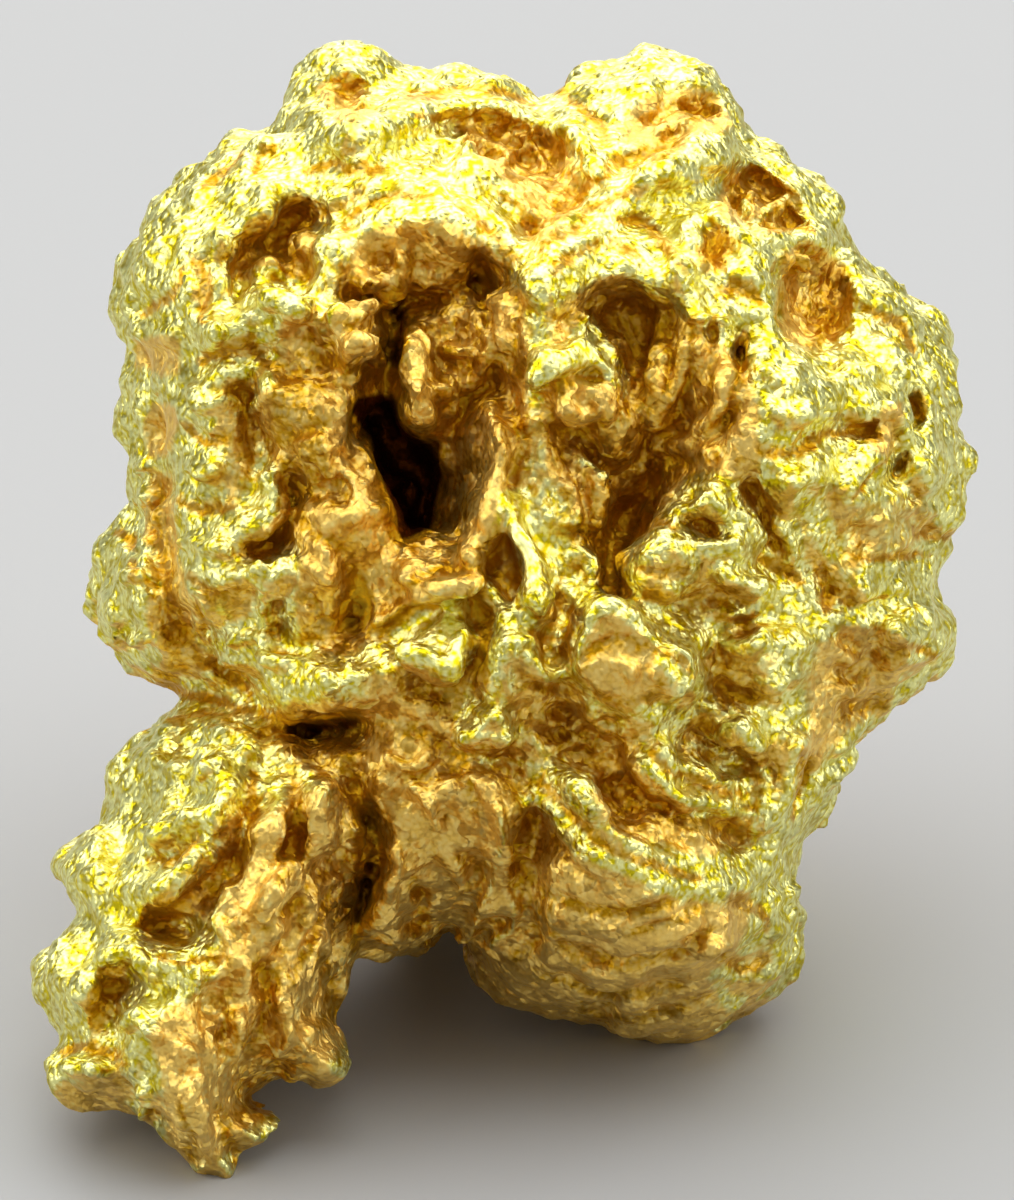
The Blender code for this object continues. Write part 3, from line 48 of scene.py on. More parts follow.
# The nugget is drawn face-on in millimetres: X to the right, Z up and -Y towards the viewer.
# It then leans back, its feet are cut flat, and it moves to its place over the origin.
nugget = {
    "leanDegrees": 25.0,  # how far the face leans back
    "tableDepth": 2.0,  # depth at which the table passes under the face's zero height
    "middle": (0.0960, 3.1241),  # what lies over the origin after the lean
    "frontDepth": 6.0,  # from the middle of the edge to the front of the body
    "backDepth": 5.4,
    "edgeRound": 6.0,  # how far in from the outline the body reaches its full depth
    "reliefRim": 0.7,  # how far in from the outline the reliefs reach their full height
    "legTop": 5.5,  # the leg starts to come forward below this height
    "legSide": -1.2,  # and lies to the left of this
    "legBlend": 2.2,  # width over which the leg and the body ease into each other
    "legForward": 0.56,  # forward for each millimetre down
    "legTaper": 0.55,  # how much of the front's fullness the leg loses at its tip
    "legLength": 8.5,
    "slabHalf": 1.0,  # half the thickness of the slab that the body is drawn from
    "reliefOut": 1.7,  # forms that pile up stop rising near this height
    "reliefIn": 4.5,  # and hollows near this depth
    "formFoot": (1.45, 0.3),  # where a lump's slope ends, in half widths: when soft, and less when firm
    "foldStrength": 1.3,
    "foldSlope": 1.4,  # how far a fold's slope reaches, in its own widths
    "foldRound": 0.9,  # under 1 a fold is a rounded roll
    "foldFade": 0.16,  # share of its length over which a fold sinks at each end
    "foldEnd": 0.35,  # how much of the fold is left at its ends
    "fineFoldEnd": 0.1,
    "fineGroove": 0.55,  # how deep the narrow grooves are cut
    "drawVoxel": 0.1,  # mesh that the depths are drawn on
    "fineVoxel": 0.082,  # mesh of the finished surface
    "triangles": 196000,
    "bellyLift": 0.9,  # clearance under the belly, away from the feet
    "bellySoftness": 0.22,
    "footSink": 0.35,
    "footReach": 1.5,  # where a foot's slope ends, in its own half widths
    "drift": [(0.7, 0.12, 3.0), (2.6, 0.1, 8.0)],  # wandering of the forms: size, amount and seed
    "swellings": [(2.6, 1.0, 4.0), (1.2, 0.6, 9.0)],  # swellings of the body: size, share and seed
    "swellLevel": 0.15,  # taken off, so that the swellings leave the outline where it is
    "swellSide": 0.32,  # their height at the sides
    "swellFront": -0.26,  # how much that changes on the front
    "swellBack": 0.35,  # and on the back
    "pitCount": 26,  # small pits scattered over the back
    "pitSeed": 5,
    # The crumpled skin: what makes it, its size, its strength and its seed.
    "skin": [
        ("growth", 0.62, 0.03, 13), ("growth", 0.33, 0.04, 14), ("ridges", 0.9, 0.06, 23),
        ("patches", 1.1, 0.14, 31), ("patches", 0.5, 0.17, 32),
    ],
    "octaves": [(1.0, 1.0), (2.1, 0.5), (4.3, 0.22)],  # how much finer, and how strong
    # Faces that look these ways, up, left and right where the lamps stand, and lie clear of the body, get a
    # painted highlight.
    "highlightWays": [
        [(0, 0, 1), (0.3, -0.2, 1), (-0.3, -0.2, 1), (0, -0.5, 1), (0, 0.4, 1)],
        [(-1, -0.3, 0.5), (-1, -0.6, 0.2), (-1, 0, 0.2)],
        [(1, -0.3, 0.5), (1, -0.6, 0.2), (1, 0, 0.2)],
    ],
    "noisePlaces": [(9.3, -1.5, -7.9), (-5.1, 6.7, 3.2), (2.8, -8.4, 4.6)],
}

# The outline, clockwise from the top left crest.
nugget["outline"] = [
    (-4.0, 18.5), (-3.0, 19.05), (-1.9, 18.6), (-1.2, 18.55), (0.0, 18.5), (0.85, 18.1), (1.4, 18.5),
    (2.4, 18.8), (3.5, 18.8), (4.3, 18.6), (4.9, 17.8), (5.0, 17.3), (6.0, 16.6), (6.6, 15.9), (6.9, 15.1),
    (7.4, 14.6), (8.5, 13.7), (8.9, 12.8), (9.3, 11.4), (9.35, 10.6), (9.2, 9.7), (8.8, 8.7), (8.55, 7.95),
    (8.85, 7.5), (8.75, 6.8), (8.1, 6.2), (7.5, 5.6), (7.0, 4.9), (6.6, 3.8), (5.9, 2.6), (6.05, 1.6),
    (5.6, 0.45), (4.9, -0.2), (4.1, -0.68), (3.2, -0.75), (2.4, -0.87), (1.6, -0.5), (0.5, -0.1),
    (-0.3, 0.3), (-0.9, 1.3), (-1.6, 1.2), (-2.3, 1.0), (-2.85, 1.0), (-3.15, 0.1), (-3.25, -0.5),
    (-2.95, -1.2), (-3.4, -1.6), (-4.5, -1.45), (-4.95, -2.0), (-4.5, -2.45), (-4.6, -2.85), (-5.1, -2.95),
    (-5.3, -3.5), (-5.9, -3.45), (-6.5, -2.85), (-7.2, -2.4), (-8.1, -2.0), (-8.85, -1.3), (-8.65, -0.85),
    (-9.1, 0.0), (-9.15, 0.8), (-8.4, 1.55), (-8.9, 2.5), (-8.5, 3.2), (-7.9, 3.7), (-7.8, 4.5),
    (-7.2, 5.15), (-6.8, 5.5), (-6.3, 6.1), (-7.0, 6.2), (-7.6, 6.95), (-8.05, 8.0), (-7.9, 9.0),
    (-7.4, 9.8), (-7.4, 11.1), (-7.45, 11.8), (-7.35, 12.5), (-7.75, 14.3), (-7.3, 15.3), (-6.5, 16.3),
    (-5.7, 17.05), (-4.6, 17.6),
]

# How far back or forward the edge itself lies: a place, its reach and its shift in depth.
nugget["edgeShifts"] = [
    ((3.2, 18.6), 3.0, 1.6),
    ((-2.0, 18.8), 3.0, 1.0),
    ((8.8, 12.5), 3.5, 1.1),
    ((8.7, 7.0), 2.0, -0.6),
    ((-7.8, 8.0), 2.2, 0.9),
    ((-7.2, 14.0), 2.5, -0.6),
    ((3.0, -0.6), 2.5, -0.2),
]

# Hollows of the front: the line round each, its depth, and the width of the wall down into it.
nugget["hollows"] = {
    "top pocket": ([(-3.85, 18.15), (-3.1, 18.6), (-2.6, 18.3), (-2.2, 17.75), (-2.3, 17.45), (-3.1, 17.3),
        (-3.5, 17.6)], 0.8, 0.45),
    "upper hollow": ([(-1.9, 17.35), (-1.0, 17.4), (-0.1, 17.55), (0.7, 17.4), (1.3, 16.95), (1.35, 16.3),
        (1.0, 15.95), (0.5, 16.1), (-0.1, 16.45), (-0.7, 16.9), (-1.3, 17.1)], 0.7, 0.6),
    "gold valley": ([(-0.5, 16.35), (0.2, 15.95), (0.7, 15.5), (1.3, 15.7), (1.15, 15.1), (0.9, 14.3),
        (0.65, 14.3), (0.5, 14.9), (0.1, 15.5), (-0.4, 15.95)], 0.8, 0.45),
    "left hollow": ([(-5.45, 14.5), (-5.2, 15.1), (-4.7, 15.6), (-4.3, 16.0), (-3.75, 16.0), (-3.45, 15.3),
        (-3.6, 14.6), (-3.7, 13.95), (-4.4, 13.95), (-5.1, 13.7), (-5.5, 13.5)], 1.3, 0.8),
    "arch hollow": ([(-2.7, 14.0), (-1.9, 14.4), (-0.9, 14.3), (-0.1, 13.9), (0.0, 12.9), (-0.2, 11.5),
        (-0.4, 10.0), (-0.9, 9.0), (-2.0, 9.0), (-2.4, 10.0), (-2.8, 11.4), (-2.9, 12.6)], 0.8, 0.8),
    "dark cavity": ([(-3.0, 11.95), (-2.4, 12.3), (-2.0, 12.0), (-1.8, 11.45), (-1.35, 11.1), (-1.1, 10.5),
        (-1.15, 9.9), (-1.3, 9.3), (-2.0, 9.1), (-2.3, 9.6), (-2.5, 10.2), (-2.7, 11.0),
        (-3.0, 11.5)], 2.6, 0.5),
    "right hollow": ([(1.95, 13.9), (2.5, 14.1), (3.1, 13.95), (3.2, 13.0), (3.05, 12.1), (2.7, 11.6),
        (2.55, 12.3), (2.3, 12.9)], 0.5, 0.4),
    "small right hollow": ([(3.7, 14.3), (4.1, 14.25), (4.6, 14.6), (4.6, 15.25), (4.15, 15.35),
        (3.75, 14.9)], 0.7, 0.4),
    "top right bowl": ([(2.75, 17.9), (3.4, 18.2), (4.1, 18.3), (4.6, 17.8), (4.7, 17.2), (4.1, 17.1),
        (3.4, 17.0), (2.8, 17.2)], 0.7, 0.6),
    "top right pocket": ([(4.0, 18.2), (4.5, 18.2), (4.8, 17.7), (4.4, 17.35), (4.1, 17.6)], 0.6, 0.25),
    "ring bowl": ([(4.2, 16.0), (4.5, 16.65), (5.1, 16.8), (5.7, 16.45), (6.15, 15.9), (6.2, 15.35),
        (5.4, 15.3), (4.7, 15.3), (4.35, 15.6)], 1.2, 0.4),
    "right pocket": ([(5.35, 13.3), (5.4, 14.2), (5.3, 14.9), (5.9, 15.1), (6.6, 15.15), (7.0, 14.7),
        (7.25, 14.2), (7.0, 13.8), (6.85, 13.2), (6.4, 12.9), (5.8, 12.9)], 1.1, 0.4),
    "pocket crescent": ([(6.3, 14.3), (6.6, 13.9), (6.5, 13.3), (6.1, 12.95), (6.2, 13.5)], 0.9, 0.25),
    "side slit": ([(7.7, 10.3), (7.85, 11.2), (8.15, 12.0), (8.4, 12.0), (8.45, 11.3), (8.3, 10.6),
        (8.0, 10.1)], 1.3, 0.25),
    "petal bowl": ([(0.25, 5.9), (0.7, 6.2), (1.3, 6.2), (1.9, 5.7), (2.5, 5.4), (2.7, 4.9), (2.2, 4.6),
        (1.4, 4.7), (0.8, 5.1)], 0.5, 0.6),
    "fold hollow": ([(3.4, 5.5), (4.0, 5.75), (4.7, 5.45), (5.2, 4.8), (4.7, 4.45), (3.9, 4.6),
        (3.4, 4.95)], 0.7, 0.45),
    "smile hollow": ([(1.9, 4.2), (2.5, 4.6), (3.1, 4.15), (3.9, 3.75), (4.8, 3.7), (5.1, 3.2), (4.3, 2.85),
        (3.5, 2.95), (2.7, 3.2), (2.1, 3.6)], 0.6, 0.4),
    "dark pocket": ([(-4.3, 5.3), (-3.7, 5.75), (-2.9, 5.85), (-2.45, 5.5), (-2.8, 5.05),
        (-3.6, 4.95)], 1.2, 0.4),
    "left yellow hollow": ([(-7.2, 11.3), (-6.9, 12.1), (-6.4, 12.0), (-6.35, 11.2),
        (-6.8, 10.9)], 0.7, 0.35),
    "leg recess": ([(-7.8, 2.3), (-7.9, 3.3), (-7.7, 4.3), (-7.2, 4.8), (-7.0, 4.0), (-7.15, 2.9),
        (-7.3, 2.2)], 0.8, 0.4),
    "leg pocket": ([(-7.1, 1.5), (-6.6, 1.8), (-6.1, 1.6), (-5.9, 1.1), (-6.5, 1.0), (-7.0, 1.1)], 0.9, 0.3),
    "lower slot": ([(5.75, 3.6), (5.8, 4.4), (6.0, 5.0), (6.25, 4.8), (6.15, 4.0), (6.0, 3.5)], 0.6, 0.2),
    "left shelter": ([(-4.3, 12.9), (-3.3, 13.3), (-2.8, 12.0), (-2.6, 10.5), (-2.6, 9.0), (-2.6, 7.4),
        (-3.2, 6.9), (-4.2, 7.4), (-4.6, 9.0), (-4.8, 11.0)], 0.8, 1.0),
    "arch recess": ([(-3.1, 13.4), (-3.1, 14.6), (-2.9, 15.2), (-2.3, 15.5), (-1.7, 15.6), (-1.0, 15.5),
        (-0.5, 15.2), (0.0, 14.9), (0.4, 14.3), (0.65, 13.6), (0.6, 12.4), (0.5, 11.0), (0.2, 9.6),
        (-0.1, 8.4), (-1.2, 8.3), (-2.1, 8.6), (-2.5, 9.9), (-2.85, 11.2), (-3.0, 12.2)], 1.9, 1.8),
    "brow recess": ([(1.0, 13.0), (1.1, 13.9), (1.5, 14.2), (2.3, 14.35), (3.0, 14.1), (3.6, 13.7),
        (4.3, 13.4), (4.9, 13.3), (5.15, 12.8), (5.2, 11.5), (5.1, 10.3), (4.4, 10.3), (3.6, 9.8),
        (3.0, 9.0), (2.4, 8.2), (1.6, 8.1), (1.0, 8.6), (0.8, 9.6), (0.8, 10.8), (0.9, 12.0)], 1.4, 1.6),
}

# Lumps of the front: a place, two half widths, a turn in degrees, a rise and a firmness.
# A low firmness gives a soft swelling, and a high one a form with a clear edge.
nugget["frontForms"] = {
    "left shoulder": ((-4.3, 16.5), (2.1, 0.9), 22, 0.7, 0.4),
    "left brow": ((-6.3, 14.6), (1.1, 1.5), 20, 0.5, 0.4),
    "arch column": ((-1.65, 12.75), (0.25, 0.9), -8, 1.3, 0.8),
    "arch left lump": ((-2.85, 12.85), (0.4, 0.4), 0, 1.3, 0.8),
    "hanging lump": ((-1.4, 11.85), (0.5, 0.5), 0, 1.5, 0.8),
    "ramp stone": ((-0.1, 8.0), (0.3, 0.35), 0, 0.5, 0.8),
    "pocket stone": ((5.45, 14.7), (0.35, 0.25), 0, 0.7, 0.8),
    "brow cheek": ((4.5, 11.9), (0.8, 1.3), 0, 0.6, 0.4),
    "right cheek": ((7.0, 11.6), (1.4, 1.6), 0, 0.5, 0.3),
    "slit plate": ((7.75, 11.3), (0.4, 0.7), -10, 0.6, 0.8),
    "side knob": ((8.25, 7.2), (0.6, 0.75), 0, 0.9, 0.6),
    "rough flank": ((7.1, 6.4), (1.0, 1.0), 30, -0.7, 0.4),
    "bright cluster": ((5.4, 6.8), (0.85, 0.6), 20, 0.8, 0.5),
    "disc side": ((3.5, 6.7), (0.5, 0.6), -20, 1.3, 0.7),
    "lens mass": ((3.2, 8.9), (0.7, 0.8), -20, 1.1, 0.7),
    "rough mass": ((1.6, 9.6), (0.75, 1.3), 8, 0.6, 0.5),
    "lower lobe": ((3.1, 2.6), (2.8, 1.4), 0, 0.9, 0.3),
    "middle mass": ((-1.2, 3.3), (1.5, 2.2), 0, 0.8, 0.4),
    "bright patch": ((-0.15, 5.4), (0.6, 0.45), 15, 0.8, 0.7),
    "inner column": ((-3.75, 11.8), (0.85, 1.1), 10, 0.9, 0.5),
    "column bump": ((-3.5, 10.9), (0.5, 0.4), 0, 0.5, 0.7),
    "column face": ((-3.5, 9.4), (0.5, 0.5), 20, 0.6, 0.8),
    "column foot": ((-3.6, 8.1), (0.5, 1.0), -5, 1.0, 0.7),
    "neck lump a": ((-3.5, 6.25), (0.4, 0.3), 0, 0.5, 0.7),
    "neck lump b": ((-2.2, 6.6), (0.6, 0.5), -20, 0.6, 0.6),
    "left knob": ((-7.35, 7.8), (0.75, 1.6), 0, 0.7, 0.5),
    "left bump": ((-7.1, 12.4), (0.55, 0.45), 0, 0.5, 0.5),
    "leg lobe a": ((-5.35, 4.15), (0.55, 0.75), -15, 1.0, 0.7),
    "leg lobe b": ((-4.5, 3.5), (0.42, 0.9), -25, 0.9, 0.7),
    "leg lobe c": ((-3.6, 3.6), (0.42, 0.9), -15, 1.0, 0.7),
    "leg left lobe": ((-8.5, 0.3), (0.6, 1.0), 0, 0.9, 0.6),
    "leg low lobe": ((-8.2, -1.5), (0.8, 0.6), 20, 0.9, 0.6),
    "leg shin": ((-5.6, -1.0), (1.7, 2.0), 0, 0.7, 0.3),
    "leg heel knob": ((-3.5, -1.0), (0.55, 0.6), 0, 0.8, 0.7),
    "leg nub": ((-4.75, -2.6), (0.35, 0.3), 0, 0.4, 0.6),
    "pocket bead": ((-3.3, 5.0), (0.35, 0.25), 0, 0.9, 0.7),
    "corner bump": ((5.6, 1.7), (0.45, 0.4), 0, 0.5, 0.6),
}

# Flat faces: a closed line, the rise at its middle, the width of its edge, and its tilts.
# The tilts are the rise per millimetre to the right and up, so a face with a second tilt
# below 0 looks up, and one above 0 looks down.
nugget["facets"] = {
    "arch olive face": ([(-3.0, 14.2), (-2.95, 14.9), (-2.5, 15.4), (-2.15, 15.35), (-2.05, 14.9),
        (-1.9, 14.3), (-2.4, 14.0)], 0.9, 0.2, (0.15, 0.4)),
    "arch brown face": ([(-2.2, 15.2), (-2.1, 15.6), (-1.6, 15.7), (-0.9, 15.5), (-0.5, 15.05),
        (-0.75, 14.4), (-1.5, 14.1), (-2.0, 14.4)], 1.1, 0.25, (-0.1, 0.5)),
    "arch right face": ([(-1.5, 13.8), (-0.9, 14.0), (-0.15, 13.6), (-0.05, 12.8), (-0.4, 12.1),
        (-1.2, 12.0), (-1.5, 12.8)], 1.7, 0.25, (0.25, 0.1)),
    "arch orange face": ([(-0.1, 14.0), (0.3, 14.1), (0.6, 13.5), (0.6, 12.6), (0.1, 12.3),
        (-0.1, 12.9)], 1.0, 0.25, (0.6, 0.0)),
    "arch left jaw": ([(-3.5, 13.8), (-3.0, 14.0), (-2.4, 13.7), (-2.2, 13.1), (-2.6, 12.6), (-3.1, 12.8),
        (-3.6, 13.2)], 1.4, 0.3, (0.0, 0.5)),
    "arch stalk": ([(-2.0, 13.6), (-1.5, 13.7), (-1.3, 12.8), (-1.1, 11.9), (-1.2, 11.25), (-1.7, 11.2),
        (-2.0, 11.7), (-2.05, 12.6)], 1.8, 0.25, (-0.2, 0.1)),
    "smooth slope": ([(-1.3, 11.2), (-0.9, 11.8), (-0.1, 12.0), (0.3, 11.2), (0.15, 10.2), (0.0, 9.2),
        (-0.5, 8.6), (-0.95, 9.2), (-1.15, 10.1)], 1.3, 0.3, (1.0, 0.0)),
    "ramp": ([(-2.2, 8.4), (-1.8, 9.1), (-1.2, 9.5), (-0.5, 9.2), (-0.2, 8.5), (-0.6, 8.0),
        (-1.4, 8.0)], 1.1, 0.3, (0.1, -0.6)),
    "cavity stone": ([(-2.55, 9.7), (-2.4, 10.2), (-1.9, 10.35), (-1.65, 9.9), (-2.0, 9.5)], 1.2, 0.25,
        (0.0, -0.5)),
    "white facet": ([(-2.0, 6.95), (-1.4, 7.5), (-1.05, 8.0), (-0.62, 8.1), (-0.45, 7.4), (-0.6, 6.7),
        (-1.05, 6.4)], 1.0, 0.1, (-0.2, -1.0)),
    "blade": ([(-0.05, 10.1), (0.45, 10.0), (0.65, 9.5), (0.85, 8.9), (1.0, 8.2), (0.9, 7.7), (0.7, 7.7),
        (0.45, 8.7), (0.2, 9.4)], 1.3, 0.1, (-0.4, -0.85)),
    "tooth": ([(0.55, 12.2), (0.8, 12.9), (1.3, 13.15), (1.75, 13.6), (2.1, 13.0), (2.5, 12.2), (1.9, 12.4),
        (1.2, 12.3)], 2.2, 0.15, (-0.1, -0.95)),
    "tooth root": ([(1.0, 12.35), (1.9, 12.45), (2.35, 12.2), (2.3, 11.5), (1.7, 11.1),
        (1.1, 11.4)], 1.9, 0.3, (0.0, 0.7)),
    "tooth cone": ([(2.2, 11.9), (2.7, 11.5), (2.6, 10.9), (2.3, 10.4), (1.9, 11.0)], 1.0, 0.3, (-0.3, 0.4)),
    "curtain face": ([(3.3, 12.9), (3.9, 13.2), (4.6, 12.8), (4.9, 11.9), (4.3, 11.2), (3.7, 10.9),
        (3.4, 11.6)], 0.6, 0.3, (0.3, 0.4)),
    "lower mass": ([(3.4, 10.9), (4.2, 11.2), (5.0, 11.4), (5.1, 10.5), (4.5, 10.2), (3.7, 9.9),
        (3.1, 10.1)], 0.7, 0.3, (0.1, 0.3)),
    "disc": ([(1.45, 6.6), (1.55, 7.3), (2.0, 7.75), (2.6, 7.75), (3.15, 7.4), (3.4, 6.8), (3.2, 6.1),
        (2.6, 5.75), (1.9, 5.95)], 1.7, 0.25, (-0.1, 0.25)),
    "disc side": ([(3.2, 7.2), (3.9, 7.1), (4.0, 6.5), (3.6, 6.0), (3.2, 6.1)], 1.0, 0.25, (0.0, 0.3)),
    "petal face": ([(0.0, 7.3), (0.5, 7.5), (0.9, 7.2), (1.35, 6.5), (1.1, 5.9), (0.5, 5.6),
        (0.1, 6.3)], 0.9, 0.25, (-0.2, 0.2)),
    "lobe face": ([(0.9, 3.2), (1.9, 2.6), (3.0, 2.3), (4.2, 2.0), (4.6, 1.2), (3.8, 0.5), (2.6, 0.0),
        (1.2, 0.3), (0.6, 1.5)], 0.8, 0.6, (0.0, 0.3)),
    "shin face": ([(-5.3, 2.4), (-4.4, 3.0), (-3.4, 2.4), (-3.3, 1.0), (-3.4, -0.3), (-4.4, -1.2),
        (-5.4, -0.6), (-5.6, 1.0)], 0.6, 0.5, (0.2, 0.35)),
    "left shin face": ([(-7.4, -0.2), (-6.0, 0.3), (-5.5, -0.6), (-5.4, -2.0), (-6.2, -2.9),
        (-7.2, -2.0)], 0.5, 0.4, (-0.2, 0.35)),
    "middle face": ([(-2.2, 3.6), (-1.2, 4.6), (0.0, 4.6), (0.5, 3.6), (0.3, 2.4), (-0.4, 1.4), (-1.6, 1.3),
        (-2.3, 2.2)], 0.5, 0.5, (0.0, 0.35)),
    "pillar left": ([(2.95, 13.0), (3.3, 13.1), (3.35, 12.2), (3.3, 11.5), (3.0, 11.4),
        (2.9, 12.2)], 0.7, 0.15, (0.4, 0.0)),
    "brow corner": ([(3.6, 13.6), (4.1, 13.7), (4.7, 13.4), (4.8, 12.9), (4.1, 12.9),
        (3.6, 13.1)], 0.6, 0.2, (0.1, 0.3)),
}

# Faces that lie under overhangs and in hollows, where the painted highlight is taken away and painted shade
# is laid: closed lines, and how strongly.
nugget["shelters"] = {
    "under the arch": ([(-3.4, 13.4), (-3.15, 14.5), (-2.9, 15.15), (-2.3, 15.5), (-1.6, 15.6),
        (-1.0, 15.5), (-0.5, 15.2), (0.0, 14.85), (0.4, 14.3), (0.7, 13.6), (0.7, 12.2), (0.5, 10.5),
        (0.0, 9.8), (0.0, 8.8), (-0.4, 8.2), (-1.2, 8.0), (-2.0, 7.4), (-2.8, 6.9), (-3.6, 6.9),
        (-4.1, 7.6), (-4.2, 9.0), (-4.4, 10.2), (-4.9, 11.4), (-4.8, 12.5), (-4.2, 12.9)], 0.9),
    "under the brow": ([(1.0, 13.6), (1.5, 14.15), (2.3, 14.35), (3.0, 14.05), (3.6, 13.65), (4.2, 13.2),
        (4.8, 12.8), (5.1, 12.2), (5.1, 10.6), (4.6, 10.3), (3.8, 10.4), (3.4, 9.8), (2.7, 9.3), (2.4, 8.2),
        (1.9, 8.1), (1.8, 9.2), (0.9, 10.4), (0.8, 12.0)], 0.9),
    "left pocket": ([(-5.4, 14.6), (-5.1, 15.2), (-4.6, 15.6), (-4.2, 15.9), (-3.8, 15.8), (-3.5, 15.1),
        (-3.6, 14.3), (-4.2, 14.4)], 0.95),
    "disc front": ([(1.6, 6.7), (1.9, 7.3), (2.5, 7.4), (3.1, 7.0), (3.2, 6.3), (2.6, 5.8), (1.9, 6.0)], 0.7),
    "petal hollow": ([(0.2, 5.7), (0.5, 6.4), (1.2, 6.4), (1.9, 5.8), (2.7, 5.4), (3.0, 4.7), (2.4, 4.4),
        (1.4, 4.6), (0.8, 5.0)], 0.8),
    "smile": ([(1.7, 4.3), (2.5, 4.9), (3.2, 4.1), (4.0, 3.7), (4.8, 3.6), (5.1, 3.2), (4.3, 2.8),
        (3.4, 3.0), (2.4, 3.2), (1.9, 3.6)], 0.7),
    "lower lobe": ([(0.5, 3.9), (1.1, 3.4), (1.9, 2.75), (2.9, 2.4), (4.0, 2.15), (5.0, 2.4), (5.0, 1.4),
        (4.0, 0.4), (2.6, -0.4), (1.2, -0.1), (0.3, 1.2)], 0.8),
    "middle": ([(-3.0, 6.1), (-2.0, 6.4), (-0.9, 6.2), (-0.6, 5.0), (0.2, 4.7), (0.4, 3.9), (0.4, 2.0),
        (-0.2, 1.2), (-2.6, 0.9), (-3.4, 2.0), (-3.4, 4.0), (-4.4, 5.0), (-4.6, 5.8)], 0.75),
    "leg front": ([(-5.0, 3.6), (-4.0, 4.4), (-3.2, 4.2), (-3.0, 2.0), (-3.2, 0.6), (-2.9, -0.8),
        (-4.2, -1.8), (-5.4, -3.1), (-6.3, -3.2), (-6.8, -2.0), (-6.9, -0.2), (-5.8, 0.6),
        (-5.7, 2.0)], 0.75),
    "right flank": ([(6.1, 7.0), (7.0, 7.6), (7.9, 7.0), (7.9, 6.0), (6.9, 5.2), (6.2, 4.4),
        (5.9, 5.4)], 0.7),
    "fan": ([(6.8, 8.8), (6.9, 9.8), (7.6, 10.2), (8.6, 10.1), (8.9, 9.4), (8.4, 8.9)], 0.5),
    "ring inside": ([(4.3, 15.6), (4.4, 16.5), (5.1, 16.7), (5.7, 16.3), (6.1, 15.6), (5.4, 15.2)], 0.95),
    "top pocket": ([(-3.8, 18.2), (-3.1, 18.5), (-2.5, 18.1), (-2.2, 17.7), (-3.0, 17.4),
        (-3.5, 17.7)], 0.95),
    "upper hollow": ([(-0.9, 17.5), (0.0, 17.6), (0.9, 17.3), (1.5, 16.8), (1.6, 15.9), (1.2, 15.2),
        (0.8, 14.9), (0.4, 15.4), (0.2, 16.0), (-0.4, 16.6)], 0.95),
    "top right inside": ([(2.3, 17.0), (2.6, 17.9), (3.3, 18.2), (4.2, 18.3), (4.7, 17.8), (4.7, 17.2),
        (3.9, 17.1), (3.2, 16.7)], 0.85),
    "right pocket": ([(5.4, 13.2), (5.4, 14.3), (5.5, 14.9), (6.1, 15.2), (6.7, 15.0), (7.1, 14.2),
        (6.9, 13.3), (6.2, 12.9)], 0.9),
    "small hollow": ([(3.9, 14.4), (4.4, 14.4), (4.7, 14.8), (4.6, 15.3), (4.1, 15.4), (3.8, 14.9)], 0.9),
    "small slit": ([(3.2, 15.2), (3.45, 15.25), (3.9, 14.4), (3.7, 14.3), (3.3, 14.8)], 0.9),
    "valley": ([(0.1, 16.3), (0.8, 16.1), (1.6, 16.2), (2.0, 15.9), (1.5, 15.5), (1.1, 14.9), (0.8, 14.5),
        (0.5, 15.2)], 0.9),
    "crest groove": ([(-1.8, 18.1), (-1.0, 18.3), (0.0, 18.2), (0.1, 18.0), (-0.8, 18.05),
        (-1.7, 17.95)], 0.8),
    "side patch": ([(-7.4, 12.6), (-7.1, 13.4), (-6.4, 13.4), (-6.2, 12.6), (-6.7, 12.3)], 0.8),
    "slit plate": ([(7.2, 11.0), (7.4, 11.8), (8.2, 12.1), (8.1, 11.4), (7.8, 10.7)], 0.9),
    "left yellow hollow": ([(-7.2, 10.9), (-7.1, 12.0), (-6.4, 12.0), (-6.3, 11.0), (-6.8, 10.7)], 0.8),
    "left channel": ([(-7.2, 9.2), (-7.1, 10.5), (-6.4, 10.5), (-6.2, 9.0), (-5.9, 7.2), (-6.4, 7.0),
        (-6.7, 8.6)], 0.8),
}
